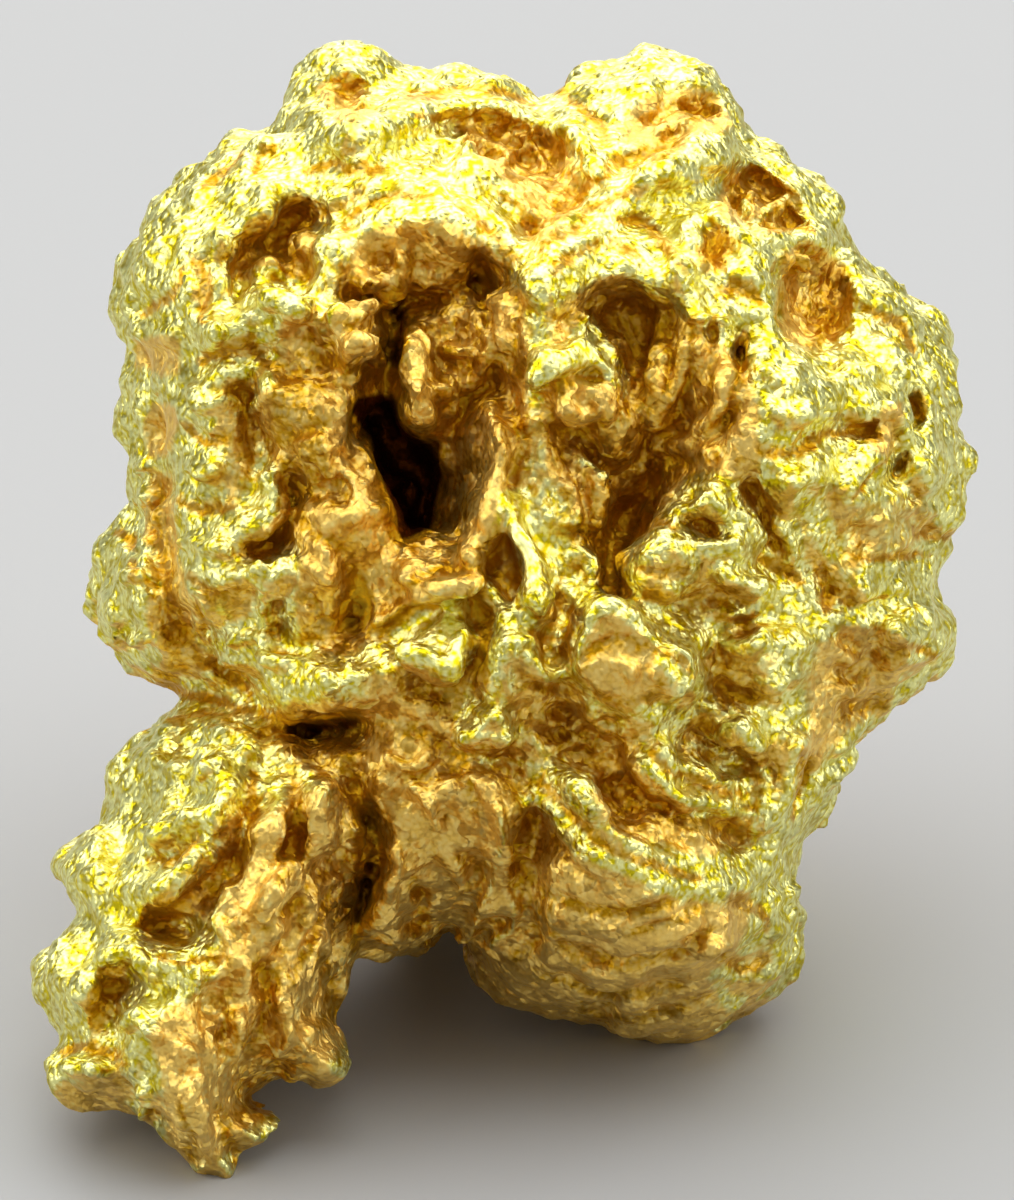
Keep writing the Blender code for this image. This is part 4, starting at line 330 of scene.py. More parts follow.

# Deep places painted dark, as painted shadow: closed lines, and how dark they are.
nugget["stains"] = {
    "dark cavity": ([(-3.05, 12.0), (-2.4, 12.25), (-2.0, 12.0), (-1.8, 11.5), (-1.3, 11.15), (-1.0, 10.5),
        (-1.15, 9.9), (-1.3, 9.2), (-2.0, 9.0), (-2.3, 9.6), (-2.5, 10.2), (-2.7, 11.0), (-3.0, 11.5)], 1.0),
    "arch deep": ([(-2.35, 14.0), (-1.9, 14.3), (-1.8, 13.4), (-1.8, 12.6), (-2.3, 12.5), (-2.3, 13.2)], 0.8),
    "arch recess": ([(-0.75, 14.5), (-0.3, 14.5), (-0.3, 14.0), (-0.8, 14.1)], 0.8),
    "jaw shade": ([(-3.9, 12.9), (-3.0, 12.8), (-2.4, 12.5), (-3.0, 12.35), (-3.8, 12.6)], 0.6),
    "brow crevice": ([(4.9, 11.1), (3.9, 10.9), (3.4, 10.9), (3.0, 10.3), (2.5, 9.4), (2.1, 8.6),
        (2.3, 8.0), (2.7, 9.0), (3.1, 9.9), (3.5, 10.5), (4.2, 10.7)], 1.0),
    "mass pit": ([(1.4, 9.5), (1.8, 9.5), (1.8, 9.1), (1.4, 9.1)], 0.8),
    "leg gap": ([(-3.0, 4.1), (-2.5, 3.6), (-2.4, 2.6), (-2.7, 1.2), (-3.0, 1.1), (-2.9, 2.4)], 0.6),
    "neck pocket": ([(-4.2, 5.3), (-3.6, 5.7), (-2.7, 5.8), (-2.6, 5.3), (-3.4, 5.1)], 0.8),
    "side slit": ([(7.75, 10.4), (7.95, 11.3), (8.3, 11.95), (8.45, 11.4), (8.15, 10.5)], 1.0),
    "cavity foot": ([(-3.0, 8.6), (-2.5, 8.4), (-2.4, 7.7), (-2.9, 7.3), (-3.2, 7.7)], 0.7),
    "curtain notch": ([(3.2, 12.3), (3.45, 12.3), (3.4, 11.3), (3.2, 11.3)], 0.7),
    "leg pocket": ([(-7.1, 1.5), (-6.6, 1.7), (-6.1, 1.5), (-6.0, 1.1), (-7.0, 1.1)], 0.6),
    "small slits": ([(3.3, 15.05), (3.5, 15.0), (3.8, 14.45), (3.65, 14.4), (3.35, 14.75)], 0.6),
    "small hollow deep": ([(4.0, 14.6), (4.4, 14.6), (4.6, 15.0), (4.3, 15.2), (4.0, 14.95)], 0.5),
    "second ridge crevice": ([(-2.0, 17.4), (-1.0, 17.62), (-0.2, 17.68), (-0.2, 17.5), (-1.0, 17.42),
        (-1.9, 17.25)], 0.6),
    "pocket crescent": ([(6.35, 14.3), (6.6, 13.9), (6.5, 13.3), (6.1, 12.9), (6.2, 13.4),
        (6.35, 13.8)], 0.7),
    "inner left": ([(-4.6, 12.4), (-3.9, 12.6), (-3.3, 11.6), (-3.2, 10.4), (-3.9, 9.9), (-4.5, 11.0)], 0.25),
}

# Crests painted bright, partly as wear and partly as painted highlight: a line and half a width.
nugget["wornLines"] = {
    "smile": ([(0.6, 4.5), (0.9, 4.1), (1.3, 3.6), (1.8, 3.15), (2.3, 2.9), (2.8, 2.75), (3.3, 2.5),
        (3.8, 2.3), (4.3, 2.4), (5.0, 2.9), (5.4, 2.8)], 0.3),
    "lip": ([(2.75, 5.3), (3.0, 4.75), (3.5, 4.35), (4.2, 4.0), (4.9, 3.9)], 0.34),
    "disc rim": ([(1.5, 7.2), (1.75, 7.7), (2.15, 7.85), (2.6, 7.7), (3.0, 7.35), (3.8, 7.15)], 0.2),
    "disc side": ([(1.45, 7.2), (1.42, 6.6), (1.75, 6.1)], 0.1),
    "petal": ([(-0.15, 6.4), (-0.15, 7.15), (0.1, 7.5), (0.45, 7.6), (0.85, 7.4)], 0.16),
    "petal ridge": ([(0.4, 7.0), (0.75, 6.75), (1.0, 6.45), (1.45, 6.6)], 0.12),
    "left hollow curl": ([(-4.95, 14.3), (-4.6, 14.55), (-4.3, 14.5), (-4.1, 14.2)], 0.13),
    "left hollow ledge": ([(-5.5, 13.55), (-5.0, 13.85), (-4.6, 13.95), (-4.2, 13.75), (-3.8, 13.6)], 0.2),
    "left ledge": ([(-6.0, 13.0), (-5.4, 13.2), (-4.9, 13.3), (-4.4, 13.1)], 0.2),
    "left lower ledge": ([(-6.1, 12.3), (-5.3, 12.5), (-4.7, 12.4), (-4.35, 12.1)], 0.22),
    "tooth edge": ([(1.8, 13.5), (2.1, 13.0), (2.45, 12.2), (2.4, 11.6), (2.2, 11.2)], 0.1),
    "tooth line": ([(1.5, 10.9), (1.9, 10.6), (2.3, 10.25)], 0.11),
    "small ring": ([(3.5, 9.7), (3.8, 9.95), (4.2, 9.95), (4.55, 9.6), (4.7, 9.15), (4.6, 8.95),
        (4.2, 9.0)], 0.14),
    "small ring top": ([(3.85, 10.25), (4.3, 10.2), (4.75, 9.95), (5.0, 9.6)], 0.12),
    "spine": ([(0.5, 15.3), (0.75, 14.6), (0.8, 13.8), (0.85, 13.0), (0.75, 12.3)], 0.13),
    "thin arch": ([(1.1, 14.7), (1.5, 15.5), (2.2, 16.1), (3.0, 16.3), (4.0, 16.8)], 0.12),
    "cheek line": ([(4.9, 13.3), (5.15, 12.8), (5.25, 12.0), (5.2, 11.0), (5.2, 10.2)], 0.14),
    "inner line": ([(-4.4, 10.9), (-4.5, 10.4), (-4.4, 10.0), (-4.7, 9.6), (-5.2, 9.2)], 0.16),
    "inner low line": ([(-4.9, 8.6), (-4.5, 8.4), (-4.2, 8.7)], 0.13),
    "leg band a": ([(-7.0, 3.4), (-6.4, 3.75), (-5.6, 3.9)], 0.24),
    "leg band b": ([(-7.0, 2.2), (-6.4, 2.8), (-5.7, 3.2)], 0.24),
    "leg crest a": ([(-5.8, 4.3), (-5.3, 4.8)], 0.16),
    "leg crest b": ([(-5.1, 4.0), (-4.6, 4.35)], 0.12),
    "leg shelf a": ([(-8.0, 0.8), (-7.4, 1.05), (-6.9, 0.75)], 0.26),
    "leg shelf b": ([(-6.8, 0.85), (-6.3, 0.65), (-6.1, 0.2)], 0.26),
    "leg foot line": ([(-4.9, -2.5), (-4.6, -2.3)], 0.12),
    "ring curl": ([(4.75, 16.0), (4.98, 15.8), (4.85, 15.5)], 0.1),
    "ring curl b": ([(5.5, 16.05), (5.3, 15.6), (4.9, 15.4)], 0.1),
    "ring ledge": ([(4.3, 15.55), (5.2, 15.2), (6.0, 14.9)], 0.12),
    "lens leaf": ([(6.85, 9.9), (7.0, 10.4), (7.6, 10.85)], 0.13),
    "bead row": ([(-3.6, 6.25), (-3.0, 6.35), (-2.6, 6.2)], 0.14),
    "neck ledge": ([(-5.0, 6.5), (-4.0, 6.2), (-3.0, 6.0), (-2.5, 5.8)], 0.1),
    "fold a": ([(1.2, 4.5), (1.6, 4.2), (1.9, 3.6)], 0.13),
    "right sliver": ([(6.0, 2.9), (6.25, 3.2), (6.5, 3.5)], 0.1),
    "middle whisker": ([(-0.1, 4.0), (0.0, 3.3), (-0.2, 2.4), (-0.3, 1.9)], 0.08),
}

# Folds and grooves of the front: a line, the widths of its left and right slopes, and a rise.
# Along a line drawn to the right, its left slope is the upper one.
nugget["frontFolds"] = {
    "crest": ([(-4.1, 18.2), (-3.2, 18.75), (-2.1, 18.45), (-1.0, 18.3), (0.0, 18.25),
        (0.8, 17.9)], 0.5, 0.3, 0.6),
    "second ridge": ([(-4.6, 17.1), (-3.6, 17.2), (-2.6, 17.2), (-1.9, 17.5), (-0.9, 17.8), (0.0, 17.85),
        (0.8, 17.6), (1.5, 17.0), (1.9, 16.3)], 0.6, 0.2, 0.9),
    "low ridge": ([(-0.9, 17.1), (-0.3, 16.6), (0.4, 16.25), (1.1, 15.8)], 0.25, 0.35, 0.5),
    "arch": ([(-3.3, 13.7), (-3.3, 14.5), (-3.0, 15.2), (-2.4, 15.6), (-1.7, 15.75), (-1.0, 15.65),
        (-0.45, 15.35), (0.1, 14.9), (0.45, 14.4), (0.7, 13.7), (0.75, 13.0)], 0.9, 0.18, 0.6),
    "spine and right arch": ([(0.85, 12.9), (0.85, 14.0), (0.95, 14.8), (1.4, 15.4), (2.0, 15.95),
        (2.8, 16.3), (3.6, 16.6), (4.4, 16.95), (5.0, 17.05)], 0.25, 0.5, 0.7),
    "brow": ([(1.0, 14.0), (1.5, 14.3), (2.3, 14.45), (3.0, 14.2), (3.6, 13.85), (4.3, 13.55), (5.0, 13.45),
        (5.3, 12.9), (5.35, 12.0), (5.3, 11.0)], 0.9, 0.2, 0.7),
    "pillar a": ([(3.05, 13.9), (3.1, 12.9), (3.15, 11.7)], 0.14, 0.14, 0.5),
    "pillar b": ([(3.5, 13.6), (3.45, 12.6), (3.35, 11.5)], 0.16, 0.16, 0.5),
    "curtain a": ([(3.9, 13.6), (3.85, 12.8), (3.6, 11.9), (3.3, 11.2)], 0.22, 0.25, 0.5),
    "curtain b": ([(4.5, 13.5), (4.5, 12.6), (4.3, 11.8), (3.9, 11.0)], 0.25, 0.3, 0.7),
    "curtain c": ([(5.0, 13.0), (4.95, 12.2), (4.8, 11.4), (4.4, 10.7)], 0.25, 0.3, 0.5),
    "top right rim": ([(2.6, 17.9), (3.2, 18.35), (3.9, 18.5), (4.5, 18.2), (4.85, 17.5)], 0.4, 0.25, 0.6),
    "ring": ([(3.5, 16.4), (4.2, 16.85), (5.0, 17.0), (5.7, 16.75), (6.25, 16.2), (6.5, 15.6), (6.0, 15.1),
        (5.2, 15.1)], 0.55, 0.22, 1.0),
    "ring inner wall": ([(4.1, 16.0), (4.3, 15.6), (4.8, 15.1), (5.0, 14.4), (5.2, 13.8)], 0.3, 0.3, 0.6),
    "small hollow rim": ([(3.4, 15.6), (3.7, 15.1), (3.55, 14.6), (3.8, 14.1)], 0.25, 0.2, 0.5),
    "right rim": ([(6.9, 14.9), (7.4, 14.3), (8.1, 13.8), (8.5, 13.1), (8.8, 12.1), (8.9, 11.0),
        (8.8, 10.2)], 0.35, 0.4, 0.8),
    "right column": ([(5.55, 13.0), (5.6, 12.0), (5.6, 11.0), (6.0, 10.2), (6.4, 9.5)], 0.5, 0.6, 0.9),
    "right shelf": ([(6.0, 11.7), (6.7, 12.0), (7.4, 11.7), (8.0, 12.2)], 0.45, 0.2, 0.7),
    "lens leaf a": ([(6.8, 9.9), (7.0, 10.4), (7.6, 10.9)], 0.2, 0.25, 0.5),
    "lens leaf b": ([(6.8, 9.9), (7.3, 10.2), (7.7, 10.7)], 0.2, 0.2, 0.4),
    "fan fold a": ([(7.7, 10.1), (8.2, 10.6), (8.9, 10.1)], 0.25, 0.3, 0.7),
    "fan fold b": ([(6.9, 9.5), (7.4, 9.85), (8.1, 9.7), (8.8, 9.6)], 0.22, 0.22, 0.5),
    "fan fold c": ([(7.0, 9.0), (7.5, 9.0), (8.0, 9.2), (8.6, 9.2)], 0.22, 0.25, 0.5),
    "fan fold d": ([(6.7, 8.5), (7.4, 8.6), (8.2, 8.6)], 0.25, 0.3, 0.4),
    "small ring": ([(3.5, 9.7), (3.8, 9.95), (4.25, 9.9), (4.6, 9.5), (4.6, 9.0), (4.2, 8.9),
        (3.9, 9.2)], 0.2, 0.2, 0.6),
    "ring tail": ([(4.2, 8.6), (4.8, 8.4), (5.3, 8.2)], 0.2, 0.2, 0.5),
    "ring top": ([(3.9, 10.25), (4.4, 10.1), (4.8, 9.9)], 0.2, 0.2, 0.4),
    "disc rim": ([(1.5, 6.3), (1.45, 7.1), (1.8, 7.7), (2.4, 7.85), (3.0, 7.5), (3.5, 7.25),
        (3.9, 7.1)], 0.22, 0.25, 0.6),
    "disc low rim": ([(1.5, 6.4), (1.9, 5.95), (2.5, 5.7), (3.0, 5.7), (3.5, 6.1),
        (3.85, 6.7)], 0.2, 0.25, 0.4),
    "petal": ([(0.35, 5.6), (0.0, 6.3), (-0.1, 7.0), (0.15, 7.5), (0.55, 7.6), (0.95, 7.3)], 0.3, 0.25, 0.8),
    "petal inner": ([(0.4, 7.0), (0.7, 6.8), (1.0, 6.5), (1.4, 6.5)], 0.2, 0.2, 0.5),
    "upper lip": ([(2.6, 5.3), (2.85, 4.7), (3.4, 4.2), (4.2, 3.85), (5.0, 3.75)], 0.7, 0.18, 0.85),
    "upper lip ridge": ([(4.2, 5.3), (4.7, 5.5), (5.2, 5.0)], 0.25, 0.25, 0.6),
    "smile lip": ([(0.4, 4.8), (0.8, 4.0), (1.3, 3.4), (1.9, 2.9), (2.6, 2.6), (3.4, 2.35), (4.1, 2.2),
        (4.8, 2.5), (5.4, 2.9)], 0.75, 0.18, 0.85),
    "smile branch": ([(1.1, 4.6), (1.6, 4.2), (1.9, 3.5)], 0.25, 0.25, 0.6),
    "flank fold": ([(5.6, 5.6), (5.8, 4.8), (5.6, 4.0), (5.5, 3.2)], 0.4, 0.3, 0.7),
    "flank ridge": ([(6.9, 5.3), (6.85, 4.8), (6.45, 4.2), (6.2, 3.4)], 0.25, 0.25, 0.6),
    "middle ridge": ([(-0.1, 4.3), (0.05, 3.3), (-0.1, 2.4), (-0.5, 1.6)], 0.3, 0.3, 0.5),
    "middle fold": ([(-2.8, 1.3), (-2.3, 2.0), (-2.0, 2.8), (-2.2, 3.5)], 0.25, 0.25, 0.5),
    "inner column ridge": ([(-3.9, 12.6), (-3.6, 11.4), (-3.3, 10.3), (-3.3, 9.3),
        (-3.6, 8.0)], 0.6, 0.7, 0.7),
    "left column": ([(-5.7, 13.0), (-5.9, 11.8), (-5.8, 10.5), (-5.9, 9.3), (-5.7, 8.2),
        (-5.2, 7.2)], 0.7, 0.6, 1.0),
    "column branch": ([(-5.4, 9.2), (-4.8, 9.7), (-4.45, 10.3), (-4.4, 11.0)], 0.25, 0.3, 0.6),
    "column low branch": ([(-5.0, 8.6), (-4.5, 8.4), (-4.2, 8.7)], 0.2, 0.2, 0.5),
    "bead ledge": ([(-5.0, 6.5), (-4.0, 6.25), (-3.0, 6.25), (-2.4, 5.9)], 0.45, 0.2, 0.9),
    "hollow rim": ([(-4.4, 15.95), (-4.8, 15.7), (-5.3, 15.3), (-5.9, 15.0)], 0.3, 0.25, 0.6),
    "left ledge": ([(-6.1, 13.0), (-5.3, 13.1), (-4.7, 13.35), (-4.2, 12.95)], 0.45, 0.2, 0.8),
    "left ledge low": ([(-6.1, 12.3), (-5.2, 12.55), (-4.6, 12.4), (-4.4, 12.0)], 0.22, 0.25, 0.6),
    "curl a": ([(-5.0, 14.3), (-4.6, 14.6), (-4.3, 14.45)], 0.2, 0.22, 0.8),
    "curl b": ([(-5.1, 13.8), (-4.7, 14.05), (-4.2, 13.75), (-3.8, 13.65)], 0.2, 0.25, 0.9),
    "leg band a": ([(-7.1, 3.3), (-6.3, 3.5), (-5.7, 4.0), (-5.3, 4.8)], 0.3, 0.35, 0.8),
    "leg band b": ([(-7.1, 2.1), (-6.3, 2.5), (-5.6, 3.2)], 0.3, 0.3, 0.8),
    "leg shelf": ([(-8.1, 0.8), (-7.4, 1.1), (-6.8, 0.8), (-6.0, 0.6), (-5.5, 0.9)], 0.35, 0.3, 0.9),
    "leg fold a": ([(-3.9, 2.9), (-4.5, 2.1), (-5.0, 1.4)], 0.22, 0.25, 0.5),
    "leg fold b": ([(-3.3, 2.3), (-3.6, 1.4), (-4.0, 0.5), (-4.1, -0.4)], 0.25, 0.3, 0.5),
    "leg fold c": ([(-4.0, 2.2), (-4.7, 1.4), (-5.0, 0.4)], 0.2, 0.25, 0.4),
    "leg toe ridge": ([(-6.4, -1.2), (-6.2, -2.2), (-5.9, -3.1)], 0.4, 0.4, 0.5),
    "crest groove": ([(-1.8, 18.0), (-0.9, 18.1), (0.1, 18.05), (0.8, 17.8)], 0.14, 0.14, -0.5),
    "right dark crevice": ([(3.4, 10.8), (2.9, 10.2), (2.5, 9.5), (2.15, 8.7), (2.3, 8.1)], 0.25, 0.25, -1.1),
    "left channel": ([(-6.75, 10.4), (-6.75, 9.4), (-6.6, 8.5), (-6.4, 7.7), (-6.0, 6.9)], 0.3, 0.3, -0.6),
    "neck": ([(-6.6, 6.2), (-5.6, 6.0), (-4.6, 5.8), (-3.6, 5.2), (-2.8, 4.6)], 0.4, 0.4, -0.8),
    "leg gap": ([(-2.8, 4.3), (-2.45, 3.2), (-2.6, 2.4), (-2.85, 1.2)], 0.22, 0.22, -1.0),
    "lobe a gap": ([(-4.95, 4.6), (-4.9, 3.6), (-5.2, 2.8)], 0.15, 0.15, -0.4),
    "lobe b gap": ([(-4.05, 4.3), (-4.0, 3.3), (-4.3, 2.4)], 0.15, 0.15, -0.4),
    "facet channel": ([(-0.45, 8.0), (-0.35, 7.2), (-0.3, 6.4)], 0.2, 0.2, -0.4),
}

# Small folds, whiskers and creases, which only the finished surface has: a line, its width and its rise.
nugget["fineFolds"] = {
    "crest": [
        ([(-3.9, 18.7), (-3.0, 18.95), (-2.0, 18.7)], 0.2, 0.15),
        ([(-1.4, 18.45), (-0.4, 18.3), (0.5, 18.2)], 0.16, 0.18),
        ([(-3.6, 17.9), (-3.2, 18.2), (-2.9, 18.45)], 0.12, 0.18),
        ([(-3.2, 17.5), (-2.7, 17.8), (-2.5, 18.1)], 0.12, 0.18),
        ([(-1.6, 17.6), (-0.7, 17.68), (0.2, 17.65)], 0.1, -0.15),
        ([(-0.9, 17.2), (-0.3, 17.1), (0.2, 16.8)], 0.14, 0.22),
        ([(-0.2, 16.6), (0.3, 16.8), (0.8, 17.1)], 0.09, 0.2),
        ([(0.2, 17.3), (0.6, 17.0), (0.9, 16.5)], 0.1, 0.2),
        ([(1.0, 17.5), (1.5, 17.1), (1.8, 16.6), (2.3, 16.3)], 0.14, 0.2),
        ([(1.2, 18.2), (1.7, 17.7), (2.1, 17.1)], 0.14, -0.2),
        ([(1.6, 18.4), (2.1, 18.1), (2.6, 18.3)], 0.14, 0.14),
    ],
    "left shoulder": [
        ([(-5.9, 16.2), (-5.5, 16.5), (-5.1, 16.9)], 0.12, -0.2),
        ([(-4.9, 16.5), (-4.7, 16.8), (-4.5, 17.0)], 0.1, -0.16),
        ([(-3.4, 15.7), (-3.0, 15.9), (-2.7, 16.2)], 0.12, -0.18),
        ([(-3.9, 16.5), (-3.2, 16.6), (-2.4, 16.5)], 0.12, -0.13),
        ([(-6.6, 15.6), (-6.1, 15.9), (-5.7, 16.4)], 0.14, 0.14),
        ([(-7.0, 14.6), (-6.6, 15.0), (-6.2, 15.5)], 0.14, 0.14),
        ([(-7.1, 13.7), (-6.6, 14.0), (-6.3, 14.5)], 0.13, -0.16),
        ([(-6.0, 14.7), (-5.8, 14.1), (-5.9, 13.5)], 0.14, -0.18),
        ([(-7.4, 13.2), (-6.8, 13.3), (-6.3, 13.2)], 0.14, 0.16),
    ],
    "left hollow": [
        ([(-4.9, 14.9), (-4.5, 15.1), (-4.1, 15.5)], 0.12, 0.2),
        ([(-3.9, 15.6), (-3.9, 15.0), (-4.1, 14.4)], 0.12, 0.2),
        ([(-4.9, 14.35), (-4.6, 14.55), (-4.35, 14.5)], 0.11, 0.25),
        ([(-4.7, 14.0), (-4.2, 13.78), (-3.85, 13.65), (-3.75, 13.95)], 0.11, 0.25),
        ([(-5.7, 13.2), (-5.3, 13.25)], 0.13, 0.2),
        ([(-6.0, 12.7), (-5.3, 13.0), (-4.8, 13.25)], 0.13, -0.2),
        ([(-4.6, 12.4), (-4.4, 12.1), (-4.9, 11.8)], 0.11, 0.2),
        ([(-5.4, 12.1), (-4.9, 12.2), (-4.5, 12.6)], 0.11, -0.2),
    ],
    "arch": [
        ([(-3.2, 15.2), (-2.7, 15.75), (-2.0, 15.95), (-1.3, 15.95)], 0.12, -0.14),
        ([(-0.8, 15.75), (-0.2, 15.3), (0.3, 14.6)], 0.12, -0.16),
        ([(-2.9, 14.3), (-2.4, 14.2), (-2.0, 14.3)], 0.12, 0.25),
        ([(-3.0, 13.65), (-2.6, 13.75), (-2.0, 14.2)], 0.12, 0.25),
        ([(-2.05, 14.95), (-1.95, 14.6), (-1.9, 14.3)], 0.08, 0.22),
        ([(-1.8, 14.5), (-1.4, 14.3), (-1.0, 14.4)], 0.12, 0.25),
        ([(-0.85, 13.85), (-0.5, 13.7), (-0.2, 13.45)], 0.09, 0.28),
        ([(-1.2, 13.0), (-0.8, 12.85), (-0.3, 12.9)], 0.12, 0.25),
        ([(-0.2, 14.1), (0.1, 13.6), (0.1, 12.9)], 0.12, 0.25),
        ([(0.4, 13.9), (0.35, 13.2), (0.45, 12.5)], 0.12, -0.25),
        ([(-1.9, 13.4), (-1.65, 12.8), (-1.75, 12.1)], 0.12, 0.25),
        ([(-1.2, 12.4), (-1.0, 12.0), (-1.1, 11.5)], 0.13, 0.25),
        ([(-0.9, 11.4), (-1.05, 11.0), (-1.0, 10.5)], 0.12, 0.2),
        ([(-2.3, 10.2), (-1.9, 10.3), (-1.6, 10.0)], 0.1, 0.2),
        ([(-3.1, 13.1), (-2.6, 13.0), (-2.4, 12.6)], 0.13, 0.25),
    ],
    "brow": [
        ([(0.9, 14.9), (1.4, 15.2), (2.0, 15.8), (2.8, 16.1)], 0.13, -0.15),
        ([(1.1, 14.5), (1.7, 14.9), (2.3, 15.0), (2.9, 14.8)], 0.13, -0.14),
        ([(2.4, 15.5), (3.0, 15.4), (3.3, 14.9)], 0.11, -0.2),
        ([(2.9, 15.3), (3.3, 14.9), (3.9, 14.3)], 0.1, 0.2),
        ([(3.6, 15.5), (3.9, 14.8), (4.1, 14.3)], 0.1, 0.2),
        ([(4.2, 15.7), (4.7, 15.2), (5.0, 14.6)], 0.11, 0.2),
        ([(4.3, 14.0), (4.7, 14.1), (5.1, 13.9)], 0.12, -0.15),
        ([(1.2, 15.6), (1.7, 16.2), (2.4, 16.6)], 0.14, -0.18),
        ([(2.2, 16.7), (2.9, 16.8), (3.6, 17.0)], 0.14, -0.3),
    ],
    "top right": [
        ([(2.9, 17.5), (3.3, 17.9), (3.8, 18.0)], 0.12, 0.2),
        ([(3.1, 17.1), (3.6, 17.4), (4.1, 17.4)], 0.12, 0.2),
        ([(4.1, 17.9), (4.4, 17.6), (4.5, 17.2)], 0.12, 0.2),
        ([(3.5, 17.8), (3.9, 17.6), (4.2, 17.8)], 0.1, -0.25),
        ([(2.0, 18.5), (2.6, 18.5), (3.2, 18.7)], 0.14, 0.14),
        ([(4.75, 16.0), (4.95, 15.8), (4.85, 15.5)], 0.1, 0.28),
        ([(5.5, 16.0), (5.3, 15.6), (4.9, 15.4)], 0.1, 0.28),
        ([(5.7, 16.1), (5.9, 15.8), (6.3, 15.4)], 0.1, 0.25),
        ([(4.9, 15.15), (5.3, 15.1), (5.9, 14.8)], 0.13, 0.25),
        ([(5.3, 15.35), (5.8, 15.4), (6.2, 15.3)], 0.09, -0.25),
        ([(5.2, 14.8), (5.5, 14.7), (5.8, 14.8)], 0.16, 0.3),
        ([(6.4, 14.1), (6.4, 13.5), (6.1, 13.0)], 0.1, 0.25),
        ([(6.7, 15.0), (7.0, 14.4), (7.2, 13.7)], 0.14, 0.2),
        ([(7.3, 13.9), (7.9, 13.5), (8.3, 12.9)], 0.13, -0.16),
        ([(7.2, 13.2), (7.7, 12.9), (8.0, 12.3)], 0.13, 0.2),
    ],
    "right hollow": [
        ([(2.3, 13.8), (2.5, 13.1), (2.8, 12.4)], 0.1, 0.2),
        ([(3.3, 13.9), (3.3, 13.0), (3.25, 12.0)], 0.07, -0.25),
        ([(3.8, 13.5), (3.7, 12.6), (3.5, 11.6)], 0.08, -0.25),
        ([(4.25, 13.5), (4.2, 12.6), (3.95, 11.6)], 0.08, -0.25),
        ([(4.75, 13.2), (4.7, 12.3), (4.4, 11.3)], 0.09, -0.25),
        ([(3.0, 11.3), (3.4, 11.1), (3.9, 11.2)], 0.13, 0.2),
        ([(0.85, 13.1), (1.2, 13.25), (1.75, 13.6)], 0.1, 0.2),
        ([(1.75, 13.6), (2.1, 13.0), (2.45, 12.5), (2.4, 12.1)], 0.1, 0.2),
        ([(0.9, 12.1), (1.4, 12.3), (2.0, 12.4)], 0.1, -0.2),
        ([(1.2, 12.0), (1.6, 11.7), (2.1, 11.9)], 0.12, 0.2),
        ([(1.0, 11.4), (1.5, 11.2), (2.0, 11.5)], 0.12, -0.2),
        ([(1.3, 11.0), (1.7, 10.6), (1.9, 10.0)], 0.13, 0.2),
    ],
    "right side": [
        ([(5.2, 12.6), (5.5, 12.2), (5.9, 12.4)], 0.13, 0.18),
        ([(5.2, 11.8), (5.7, 11.6), (6.1, 11.8)], 0.13, 0.18),
        ([(5.2, 10.9), (5.8, 10.9), (6.3, 11.2)], 0.13, -0.18),
        ([(5.4, 10.3), (5.9, 10.4), (6.4, 10.2)], 0.13, 0.18),
        ([(6.6, 12.8), (7.1, 12.5), (7.6, 12.6)], 0.13, 0.2),
        ([(6.5, 11.3), (7.0, 11.4), (7.4, 11.2)], 0.13, -0.2),
        ([(8.2, 11.6), (8.35, 11.2), (8.2, 10.8)], 0.09, 0.25),
        ([(7.5, 11.9), (7.9, 11.5), (7.95, 10.9)], 0.1, 0.2),
        ([(7.0, 9.5), (7.4, 9.75), (7.9, 9.5), (7.5, 9.25), (7.0, 9.5)], 0.1, 0.2),
        ([(8.1, 10.0), (8.4, 9.7), (8.8, 9.8)], 0.11, 0.2),
        ([(8.3, 9.35), (8.6, 9.25), (8.95, 9.2)], 0.08, -0.3),
        ([(7.2, 8.8), (7.8, 8.85), (8.5, 8.85)], 0.1, -0.25),
        ([(6.9, 8.3), (7.5, 8.2), (8.1, 8.3)], 0.12, 0.2),
        ([(7.0, 10.0), (7.3, 10.45), (7.6, 10.75)], 0.07, -0.3),
        ([(7.9, 7.8), (8.3, 7.7), (8.6, 7.4)], 0.14, 0.2),
        ([(7.8, 7.0), (8.2, 7.1), (8.6, 6.9)], 0.14, -0.2),
        ([(6.3, 7.2), (6.8, 6.9), (7.3, 7.0)], 0.14, 0.22),
        ([(6.4, 6.4), (6.9, 6.2), (7.4, 6.4)], 0.14, 0.22),
        ([(6.8, 5.9), (7.3, 5.9), (7.7, 6.1)], 0.12, -0.2),
        ([(6.2, 8.7), (6.5, 8.3), (6.4, 7.8)], 0.14, -0.3),
        ([(5.4, 9.6), (5.7, 9.2), (5.6, 8.7)], 0.13, 0.2),
        ([(5.1, 9.0), (5.4, 8.6), (5.9, 8.4)], 0.12, -0.2),
    ],
    "middle right": [
        ([(3.4, 9.6), (3.7, 9.9), (4.2, 9.95), (4.55, 9.6)], 0.1, 0.2),
        ([(4.65, 9.4), (4.6, 9.0), (4.2, 8.95), (3.9, 9.15)], 0.1, 0.2),
        ([(4.2, 8.6), (4.8, 8.4), (5.2, 8.15)], 0.11, 0.22),
        ([(3.9, 10.25), (4.3, 10.15), (4.7, 9.95)], 0.11, 0.22),
        ([(2.7, 9.3), (3.2, 9.5), (3.6, 9.2)], 0.12, -0.2),
        ([(2.8, 8.6), (3.3, 8.4), (3.8, 8.6)], 0.12, -0.2),
        ([(4.3, 7.9), (4.8, 7.7), (5.2, 7.9)], 0.13, 0.22),
        ([(4.4, 7.2), (4.9, 7.0), (5.3, 7.3)], 0.13, 0.22),
        ([(5.0, 6.5), (5.5, 6.4), (5.9, 6.7)], 0.13, 0.22),
